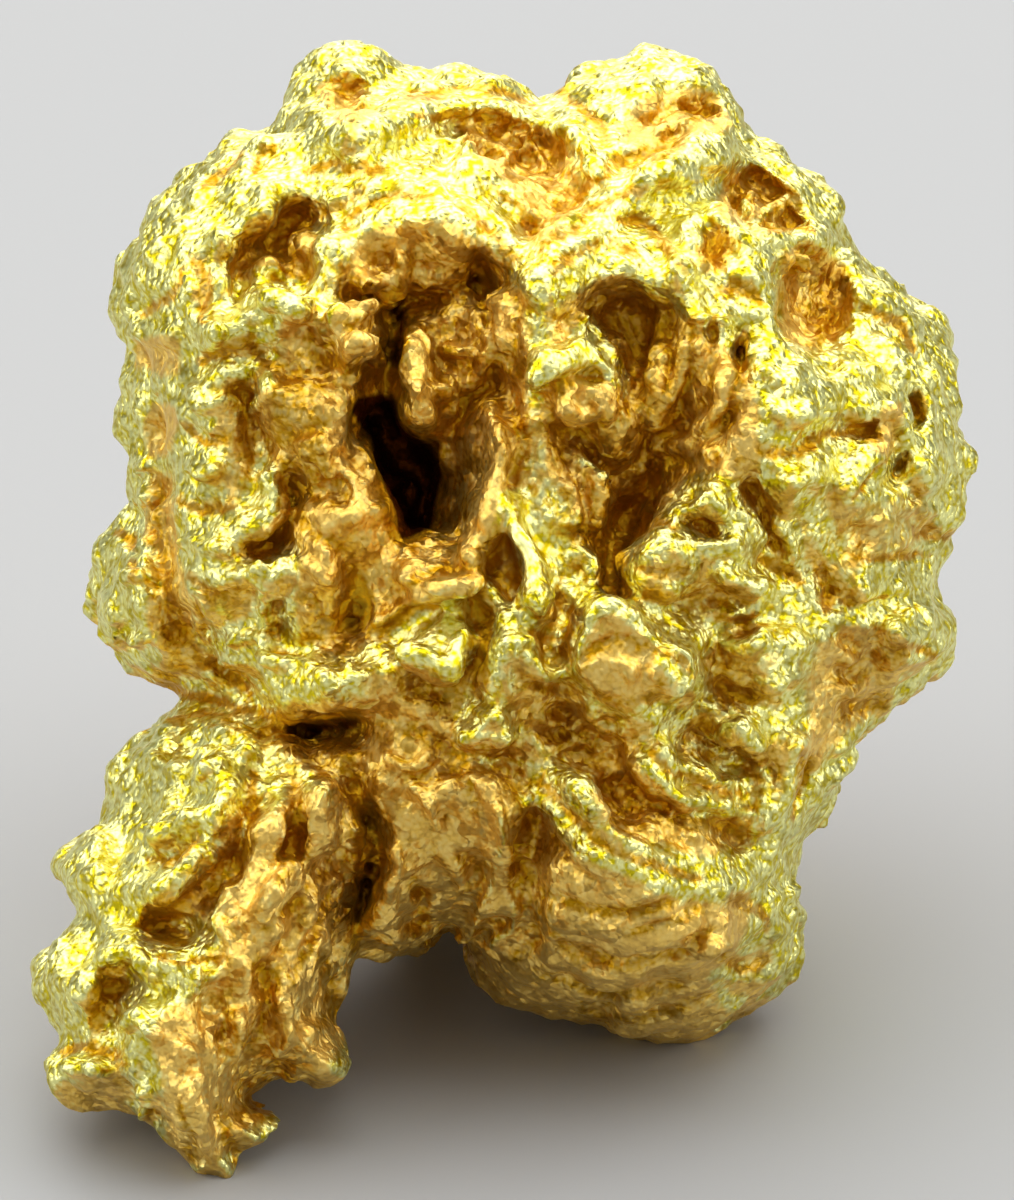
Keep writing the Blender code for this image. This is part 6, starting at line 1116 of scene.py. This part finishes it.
def setOnFeet(piece):  # lifts the underside clear of the table, except at the feet
    co = readCo(piece)
    x, y, z = co.T
    foot = np.zeros(len(x))
    for (fx, fy), (halfX, halfY) in nugget["feet"].values():
        r = np.hypot((x - fx) / halfX, (y - fy) / halfY) / nugget["footReach"]
        foot = np.maximum(foot, np.clip(1 - r ** 2, 0, 1) ** 0.8)
    floor = nugget["bellyLift"] * (1 - foot) - nugget["footSink"]
    soft = nugget["bellySoftness"]
    co[:, 2] = floor + soft * np.logaddexp(0, (z - floor) / soft)
    writeCo(piece, co)


def cutFeet(piece):
    bm = bmesh.new()
    bm.from_mesh(piece.data)
    geometry = bm.verts[:] + bm.edges[:] + bm.faces[:]
    cut = bmesh.ops.bisect_plane(bm, geom=geometry, plane_co=(0, 0, 0), plane_no=(0, 0, -1),
                                 clear_outer=True, dist=1e-5)
    edges = [item for item in cut["geom_cut"] if isinstance(item, bmesh.types.BMEdge)]
    made = bmesh.ops.holes_fill(bm, edges=edges, sides=0)["faces"]
    bmesh.ops.triangulate(bm, faces=made)
    bmesh.ops.recalc_face_normals(bm, faces=bm.faces)
    bm.to_mesh(piece.data)
    bm.free()
    piece.data.update()


def makeNugget():
    drawn = {"mode": "VOXEL", "voxel_size": nugget["drawVoxel"]}
    fine = {"mode": "VOXEL", "voxel_size": nugget["fineVoxel"]}
    outline = smoothLine(nugget["outline"], step=0.35, closed=True)
    piece = makeSlab(outline)
    applyModifier(piece, "REMESH", **drawn)
    swell(piece, outline)
    applyModifier(piece, "REMESH", **drawn)
    applyModifier(piece, "SMOOTH", factor=0.5, iterations=1)
    roughen(piece)
    applyModifier(piece, "REMESH", **fine)
    addFineFolds(piece)
    crumple(piece)
    leanBack(piece)
    setOnFeet(piece)
    applyModifier(piece, "REMESH", **fine)
    faces = sum(len(p.vertices) - 2 for p in piece.data.polygons)
    applyModifier(piece, "DECIMATE", ratio=min(1, nugget["triangles"] / faces))
    cutFeet(piece)
    co = readCo(piece)
    co[:, :2] -= nugget["middle"]
    writeCo(piece, co * mm)
    piece.data.shade_smooth()
    return piece


goldNugget = makeNugget()
print("nugget shaped:", len(goldNugget.data.polygons), "faces")

# How the nugget's openness and its faces towards the lamps are measured, for the painted shade and painted
# highlight in its gold's colour.
paintedLightSettings = {
    "rays": 14,  # that leave each point
    "lowestRay": 0.97,  # how near to the surface the lowest of them runs
    "rayStart": 0.03 * mm,
    "rayReach": 3 * mm,
    "rayEase": 0.8,  # under 1, a wall that is hit far off takes little away
    "highlightReach": 9 * mm,  # how far off a wall may keep a face from its painted highlight: a painted shadow
    "highlightFrom": 0.4,  # how squarely a face meets a lamp's way, where the painted highlight starts
    "highlightOver": 0.3,  # and how much more it takes to paint it fully bright
    "frontFrom": 2.5,  # depth at which the drawn places fade out, mm
    "placeEdge": 0.25,  # over which a drawn place reaches its full strength, mm
    "brightTilt": -0.7,  # faces that look up more than this get a painted highlight
    "lineSoftness": 0.12,  # of a bright crest line's edge, mm
    "lineFade": 0.15,  # share of its length over which it narrows at each end
    "lineEnd": 0.3,  # how wide it is at its ends
    "foldCrest": 0.13,  # width of the crest on a main fold, mm
    # Crests painted lighter: partly wear and partly painted highlight.
    "crestWearAndSheen": 0.6,
    "shelteredCrest": 0.7,  # how much of that the painted shade zones take
    "grooveHighlightCut": 0.8,  # how much a groove takes from the painted highlight: painted shade in grooves
    "grooveShadeDepth": 0.35,  # and from the openness, which paints it darker: painted shade
}


def placesShare(places, x, z):  # how strongly the named places cover a point, from 0 to 1
    covered = np.zeros(len(x))
    for points, strength in places.values():
        line = smoothLine(points, 0.2, closed=True)
        covered = np.maximum(covered, strength * insideShare(x, z, line, paintedLightSettings["placeEdge"]))
    return covered


def highlightShare(x, z):  # painted highlight, partly wear, on the crests of some folds and on the faces that look up
    share = np.zeros(len(x))
    for points, halfWidth in nugget["wornLines"].values():
        line = smoothLine(points, 0.15)
        near = nearLine(x, z, line, halfWidth)
        if near.any():
            distance, _, along = lineDistance(x[near], z[near], line)
            fade = np.clip(np.minimum(along, 1 - along) / paintedLightSettings["lineFade"], paintedLightSettings["lineEnd"], 1)
            stroke = np.clip((halfWidth * fade - distance) / paintedLightSettings["lineSoftness"], 0, 1)
            share[near] = np.maximum(share[near], stroke)
    for points, rise, edge, tilts in nugget["facets"].values():
        if tilts[1] < paintedLightSettings["brightTilt"]:
            share[insideLine(x, z, smoothLine(points, 0.15, closed=True))] = 1.0
    return share


def lineShares(x, z):  # how near each point is to a crest and to a groove, from 0 to 1
    crest = np.zeros(len(x))
    groove = np.zeros(len(x))
    strokes = [stroke for group in nugget["fineFolds"].values() for stroke in group]
    folds = nugget["frontFolds"].values()
    strokes += [(points, paintedLightSettings["foldCrest"], rise) for points, left, right, rise in folds]
    for points, width, rise in strokes:
        line = smoothLine(points)
        near = nearLine(x, z, line, 1.3 * width)
        if near.any():
            distance, _, _ = lineDistance(x[near], z[near], line)
            share = crest if rise > 0 else groove
            stroke = np.clip(1.5 - 1.2 * distance / width, 0, 1)  # full near the line, none at 1.25 widths
            share[near] = np.maximum(share[near], stroke)
    return crest, groove


def raySpread():  # even directions around +Z: right, forward and up
    golden = math.pi * (3 - math.sqrt(5))
    rays = []
    for i in range(paintedLightSettings["rays"]):
        up = math.sqrt(1 - (i + 0.5) / paintedLightSettings["rays"] * paintedLightSettings["lowestRay"])
        out = math.sqrt(1 - up * up)
        rays.append((out * math.cos(i * golden), out * math.sin(i * golden), up))
    return rays


def measure(piece):  # how open each point lies, for painted shade, and how squarely it faces the lamps' ways clear of the body, for painted highlight: 1 on an outer ridge, 0 deep in a hollow
    co = readCo(piece)
    tree = BVHTree.FromPolygons(co.tolist(), [tuple(p.vertices) for p in piece.data.polygons])
    rays = raySpread()
    ways = [[Vector(way).normalized() for way in group] for group in nugget["highlightWays"]]
    openness = np.empty(len(co))
    worn = np.empty(len(co))
    for i, (c, n) in enumerate(zip(co, readNormals(piece))):
        normal = Vector(n)
        side = normal.orthogonal().normalized()
        other = normal.cross(side)
        start = Vector(c) + normal * paintedLightSettings["rayStart"]
        free = 0.0
        for a, b, up in rays:
            hit = tree.ray_cast(start, side * a + other * b + normal * up, paintedLightSettings["rayReach"])[3]
            free += 1.0 if hit is None else (hit / paintedLightSettings["rayReach"]) ** paintedLightSettings["rayEase"]
        openness[i] = free / paintedLightSettings["rays"]
        shares = []
        for group in ways:
            clear = [way for way in group if tree.ray_cast(start, way, paintedLightSettings["highlightReach"])[3] is None]
            met = [(normal.dot(way) - paintedLightSettings["highlightFrom"]) / paintedLightSettings["highlightOver"] for way in clear]
            shares.append(sum(min(1, max(0, share)) for share in met) / len(group))
        worn[i] = max(shares)
    return openness, worn


def faceOn(co):  # back from the leaning place to the drawing
    lean = math.radians(nugget["leanDegrees"])
    x = co[:, 0] / mm + nugget["middle"][0]
    y = co[:, 1] / mm + nugget["middle"][1]
    z = co[:, 2] / mm - nugget["tableDepth"] * math.sin(lean)
    down = math.sin(lean)
    across = math.cos(lean)
    return np.column_stack([x, y * across - z * down, y * down + z * across])


def storeValue(piece, name, values):
    attribute = piece.data.attributes.new(name, "FLOAT", "POINT")
    attribute.data.foreach_set("value", np.asarray(values, np.float32))


def storeGrainAndPaintedLight(piece):
    openness, worn = measure(piece)
    drawn = faceOn(readCo(piece))
    facing = np.clip(-readNormals(piece)[:, 1], 0, 1)
    storeValue(piece, "grain", smoothShare(drawn[:, 0], drawn[:, 2], facing))
    front = np.clip(paintedLightSettings["frontFrom"] - drawn[:, 1], 0, 1)
    x, _, z = (drawn + drift(drawn)).T
    crest, groove = lineShares(x, z)
    # Painted shade: under overhangs and in hollows the painted highlight is taken away, on the crests there
    # too.
    paintedShadeShare = placesShare(nugget["shelters"], x, z)
    crest *= paintedLightSettings["crestWearAndSheen"] * (1 - paintedLightSettings["shelteredCrest"] * paintedShadeShare)
    highlight = front * np.maximum(highlightShare(x, z), crest)
    groove *= front
    # Grooves take from the painted highlight, as painted shade.
    worn = np.maximum(worn * (1 - front * paintedShadeShare), highlight) * (1 - paintedLightSettings["grooveHighlightCut"] * groove)
    # Painted shadow in the deep places and painted shade along grooves darken the openness, which picks the
    # colour.
    hollowShade = front * placesShare(nugget["stains"], x, z)
    storeValue(piece, "worn", worn)
    storeValue(piece, "open", openness * (1 - hollowShade) * (1 - paintedLightSettings["grooveShadeDepth"] * groove))
    print("nugget measured: openness", np.percentile(openness, [5, 25, 50, 75, 95]).round(2))


storeGrainAndPaintedLight(goldNugget)


class Shade:
    # One value or colour of a material. The operators add Math nodes.
    def __init__(self, tree, socket=None):
        self.tree = tree
        self.socket = socket

    def node(self, kind, settings={}, sockets={}, output=0):
        made = self.tree.nodes.new(kind)
        for name, value in settings.items():
            setattr(made, name, value)
        for name, value in sockets.items():
            if isinstance(value, Shade):
                self.tree.links.new(value.socket, made.inputs[name])
            else:
                made.inputs[name].default_value = value
        return Shade(self.tree, made.outputs[output] if made.outputs else None)

    def beside(self, output):  # another output of the same node
        return Shade(self.tree, self.socket.node.outputs[output])

    def math(self, operation, *values, clamp=False):
        settings = {"operation": operation, "use_clamp": clamp}
        return self.node("ShaderNodeMath", settings, dict(enumerate(values)))

    def __add__(self, other):
        return self.math("ADD", self, other)

    def __sub__(self, other):
        return self.math("SUBTRACT", self, other)

    def __rsub__(self, other):
        return self.math("SUBTRACT", other, self)

    def __mul__(self, other):
        return self.math("MULTIPLY", self, other)

    __radd__ = __add__
    __rmul__ = __mul__

    def between(self, low, high):  # 0 at low, 1 at high
        return self.math("DIVIDE", self - low, high - low, clamp=True)

    def mixed(self, low, high):  # a colour between two, by this value
        colours = {6: low, 7: high}
        for name, value in colours.items():
            if not isinstance(value, Shade):
                colours[name] = (*value, 1.0)
        return self.node("ShaderNodeMix", {"data_type": "RGBA"}, {0: self, **colours}, output=2)


goldAndPaintedLight = {
    "wornAndLitTop": (0.98, 0.96, 0.38),  # upper faces, partly wear and partly painted highlight
    # Its creases darker: partly painted shade in the grain's creases.
    "wornAndLitCrease": (0.70, 0.57, 0.01),
    "shadedTop": (0.98, 0.74, 0.22),  # under faces, in painted shade: duller and redder
    "shadedMiddle": (0.88, 0.56, 0.07),
    "shadedCrease": (0.55, 0.28, 0.005),
    "shadedOpenLit": (0.98, 0.68, 0.18),  # lighter where such a face lies open: painted light
    "hollowShade": (0.78, 0.46, 0.02),  # in the hollows: painted shade
    # Nearly black: painted shadow deep in the hollows.
    "deep": (0.10, 0.025, 0.001),
    "roughWorn": 0.36,
    "roughDeep": 0.52,
    "roughFine": 0.1,
    "faceSize": 0.5,  # small tilted faces, mm
    "faceTilt": 0.9,
    "smallFaceSize": 0.22,
    "smallFaceTilt": 0.8,
    "wornFlat": 0.6,  # how much the worn and highlighted places take from the small faces
    "grainSize": 0.16,
    "grainHeight": 0.04,
    "creaseSize": 0.42,
    "creaseHeight": 0.05,
    "fineSize": 0.09,
    "fineHeight": 0.02,
    "blotchSize": 1.4,
    "topShares": (0.5, 0.7, 0.4),  # of the grain, the creases and the fine pattern
    "topFrom": (0.64, 0.98),  # from the creases to the tops
    "highlightFrom": (0.25, 0.65),
    "blotchOpen": 0.2,  # how much the blotches shift these
    "blotchOnHighlight": 0.3,
    # From how open to how open, in steps of painted shade: out of the painted deep shadow, out of the hollow
    # shade, out of the shaded creases.
    "deepEnds": (0.07, 0.28),
    "hollowShadeEnds": (0.25, 0.48),
    "shadeEnds": (0.42, 0.85),
    "outerFrom": (0.75, 1.0),
    "outerShare": 0.7,
}


def makeGold():
    material = bpy.data.materials.new("gold")
    material.use_nodes = True
    tree = material.node_tree
    tree.nodes.clear()
    start = Shade(tree)
    finish = goldAndPaintedLight
    place = start.node("ShaderNodeTexCoord", output="Object")

    def measured(name):
        return start.node("ShaderNodeAttribute", {"attribute_name": name}, output="Fac")

    def noiseOf(size, detail, output=0):
        return start.node("ShaderNodeTexNoise", {}, {
            "Vector": place, "Scale": 1 / (size * mm), "Detail": detail, "Roughness": 0.6}, output)

    def cellsOf(size, where, output):
        return start.node("ShaderNodeTexVoronoi", {}, {"Vector": where, "Scale": 1 / (size * mm)}, output)

    def vector(operation, *values, output=0):
        return start.node("ShaderNodeVectorMath", {"operation": operation}, dict(enumerate(values)), output)

    def facesOf(size, tilt):  # flat faces, each tilted its own way, as a height in mm
        bend = noiseOf(0.9 * size, 0.0, output=1)
        bent = vector("MULTIPLY_ADD", bend, (0.8 * size * mm,) * 3, place)
        colour = cellsOf(size, bent, "Color")  # its own for each face, and so gives the tilt
        away = vector("SUBTRACT", bent, colour.beside("Position"))
        lean = vector("SUBTRACT", colour, (0.5, 0.5, 0.5))
        return vector("DOT_PRODUCT", lean, away, output=1) * (tilt / mm)

    isOpen = measured("open")
    wearAndHighlightShare = measured("worn")
    grain = 1 - cellsOf(finish["grainSize"], place, "Distance")
    creases = noiseOf(finish["creaseSize"], 3.0)
    fine = noiseOf(finish["fineSize"], 0.0)
    blotch = noiseOf(finish["blotchSize"], 1.0) - 0.5
    faces = facesOf(finish["faceSize"], finish["faceTilt"])
    faces += facesOf(finish["smallFaceSize"], finish["smallFaceTilt"])
    lift = grain * finish["grainHeight"] * wearAndHighlightShare
    lift += creases * finish["creaseHeight"] + fine * finish["fineHeight"]
    lift += faces * (1 - wearAndHighlightShare * finish["wornFlat"])
    lift *= measured("grain")
    bump = start.node("ShaderNodeBump", {}, {"Strength": 1.0, "Distance": mm, "Height": lift})

    grainTop, creaseTop, fineTop = finish["topShares"]
    # The grain's tops lighter and its low places darker: partly painted shade in the small creases.
    top = (grain * grainTop + creases * creaseTop + fine * fineTop).between(*finish["topFrom"])
    level = isOpen + blotch * finish["blotchOpen"]
    worn = (wearAndHighlightShare + (blotch + grain - 0.6) * finish["blotchOnHighlight"]).between(*finish["highlightFrom"])
    # Lit and shaded copies of the gold, picked by the painted highlight share.
    highlight = top.between(0.0, 0.75).mixed(finish["wornAndLitCrease"], finish["wornAndLitTop"])
    shaded = top.between(0.0, 0.4).mixed(finish["shadedCrease"], finish["shadedMiddle"])
    shaded = top.between(0.4, 1.0).mixed(shaded, finish["shadedTop"])
    # Painted shade: darker where less open; painted light where open; painted shadow deep in the hollows.
    shaded = level.between(*finish["shadeEnds"]).mixed(finish["shadedCrease"], shaded)
    openLightShare = level.between(*finish["outerFrom"]) * finish["outerShare"]
    shaded = openLightShare.mixed(shaded, finish["shadedOpenLit"])
    hollowShade = level.between(*finish["deepEnds"]).mixed(finish["deep"], finish["hollowShade"])
    inShade = level.between(*finish["hollowShadeEnds"]).mixed(hollowShade, shaded)
    polish = worn * 0.7 + level.between(0.3, 0.7) * 0.3
    roughness = finish["roughDeep"] - polish * (finish["roughDeep"] - finish["roughWorn"])
    surface = start.node("ShaderNodeBsdfPrincipled", {}, {
        "Base Color": worn.mixed(inShade, highlight), "Metallic": 1.0,
        "Roughness": roughness + (fine - 0.5) * finish["roughFine"], "Normal": bump})
    start.node("ShaderNodeOutputMaterial", {}, {"Surface": surface})
    return material


goldNugget.data.materials.append(makeGold())
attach(goldNugget, "root")
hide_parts("nugget")
print("gold finish made")

stage = {
    "floorHalf": 400 * mm,
    "floorColour": (0.35, 0.35, 0.345),
    "floorRoughness": 0.7,
    "airColour": (0.82, 0.84, 0.88),
    "airStrength": 0.28,
    "lightAim": (0, 0, 9),  # mm
    # Each soft panel: its place and its size in mm, and how bright its face is.
    "panels": {
        "topPanel": ((0, 40, 150), 300, 2.3),
        "backPanel": ((0, 230, 100), 220, 1.5),
        "leftPanel": ((-190, -40, 105), 210, 1.7),
        "rightPanel": ((190, -40, 105), 210, 1.7),
        "frontPanel": ((-60, -150, 160), 100, 0.7),
        "lowPanel": ((60, -230, 40), 120, 0.7),
    },
    "lens": 600.0,  # mm, and so is the sensor's width
    "sensor": 36.0,
    "nearest": 10 * mm,
    "farthest": 5.0,
    "viewHeight": 24 * mm,  # what the camera shows from bottom to top
    "aim": (0.14, 8.0),  # face-on middle of the view
}


def addToScene(name, data):
    thing = bpy.data.objects.new(name, data)
    bpy.context.scene.collection.objects.link(thing)
    return thing


def lookAt(thing, point):
    thing.rotation_euler = (point - thing.location).to_track_quat("-Z", "Y").to_euler()


def makeFloor():
    half = stage["floorHalf"]
    mesh = bpy.data.meshes.new("floor")
    corners = [(-half, -half, 0), (half, -half, 0), (half, half, 0), (-half, half, 0)]
    mesh.from_pydata(corners, [], [(0, 1, 2, 3)])
    material = bpy.data.materials.new("paleFloor")
    material.use_nodes = True
    shader = material.node_tree.nodes["Principled BSDF"]
    shader.inputs["Base Color"].default_value = (*stage["floorColour"], 1)
    shader.inputs["Roughness"].default_value = stage["floorRoughness"]
    mesh.materials.append(material)
    floor = addToScene("floor", mesh)


def makePanel(name, place, size, brightness):
    lamp = bpy.data.lights.new(name, "AREA")
    lamp.shape = "DISK"
    lamp.size = size * mm
    lamp.energy = brightness * math.pi * math.pi * (lamp.size / 2) ** 2
    light = addToScene(name, lamp)
    light.location = Vector(place) * mm
    light.visible_camera = False
    lookAt(light, Vector(stage["lightAim"]) * mm)


def makeAir():
    world = bpy.data.worlds.new("air")
    world.use_nodes = True
    background = world.node_tree.nodes["Background"]
    background.inputs["Color"].default_value = (*stage["airColour"], 1)
    background.inputs["Strength"].default_value = stage["airStrength"]
    bpy.context.scene.world = world


def makeCamera():
    lean = math.radians(nugget["leanDegrees"])
    x, z = stage["aim"]
    middle = nugget["middle"]
    height = z * math.cos(lean) + nugget["tableDepth"] * math.sin(lean)
    aim = Vector((x - middle[0], z * math.sin(lean) - middle[1], height)) * mm
    data = bpy.data.cameras.new("camera")
    data.lens = stage["lens"]
    data.sensor_width = stage["sensor"]
    data.clip_start = stage["nearest"]
    data.clip_end = stage["farthest"]
    camera = addToScene("camera", data)
    away = stage["lens"] / stage["sensor"] * stage["viewHeight"]
    camera.location = aim + Vector((0, -math.cos(lean), math.sin(lean))) * away
    lookAt(camera, aim)
    bpy.context.scene.camera = camera


makeFloor()
for name, panel in stage["panels"].items():
    makePanel(name, *panel)
makeAir()
makeCamera()
bpy.context.scene.view_settings.view_transform = "Standard"
print("stage made")
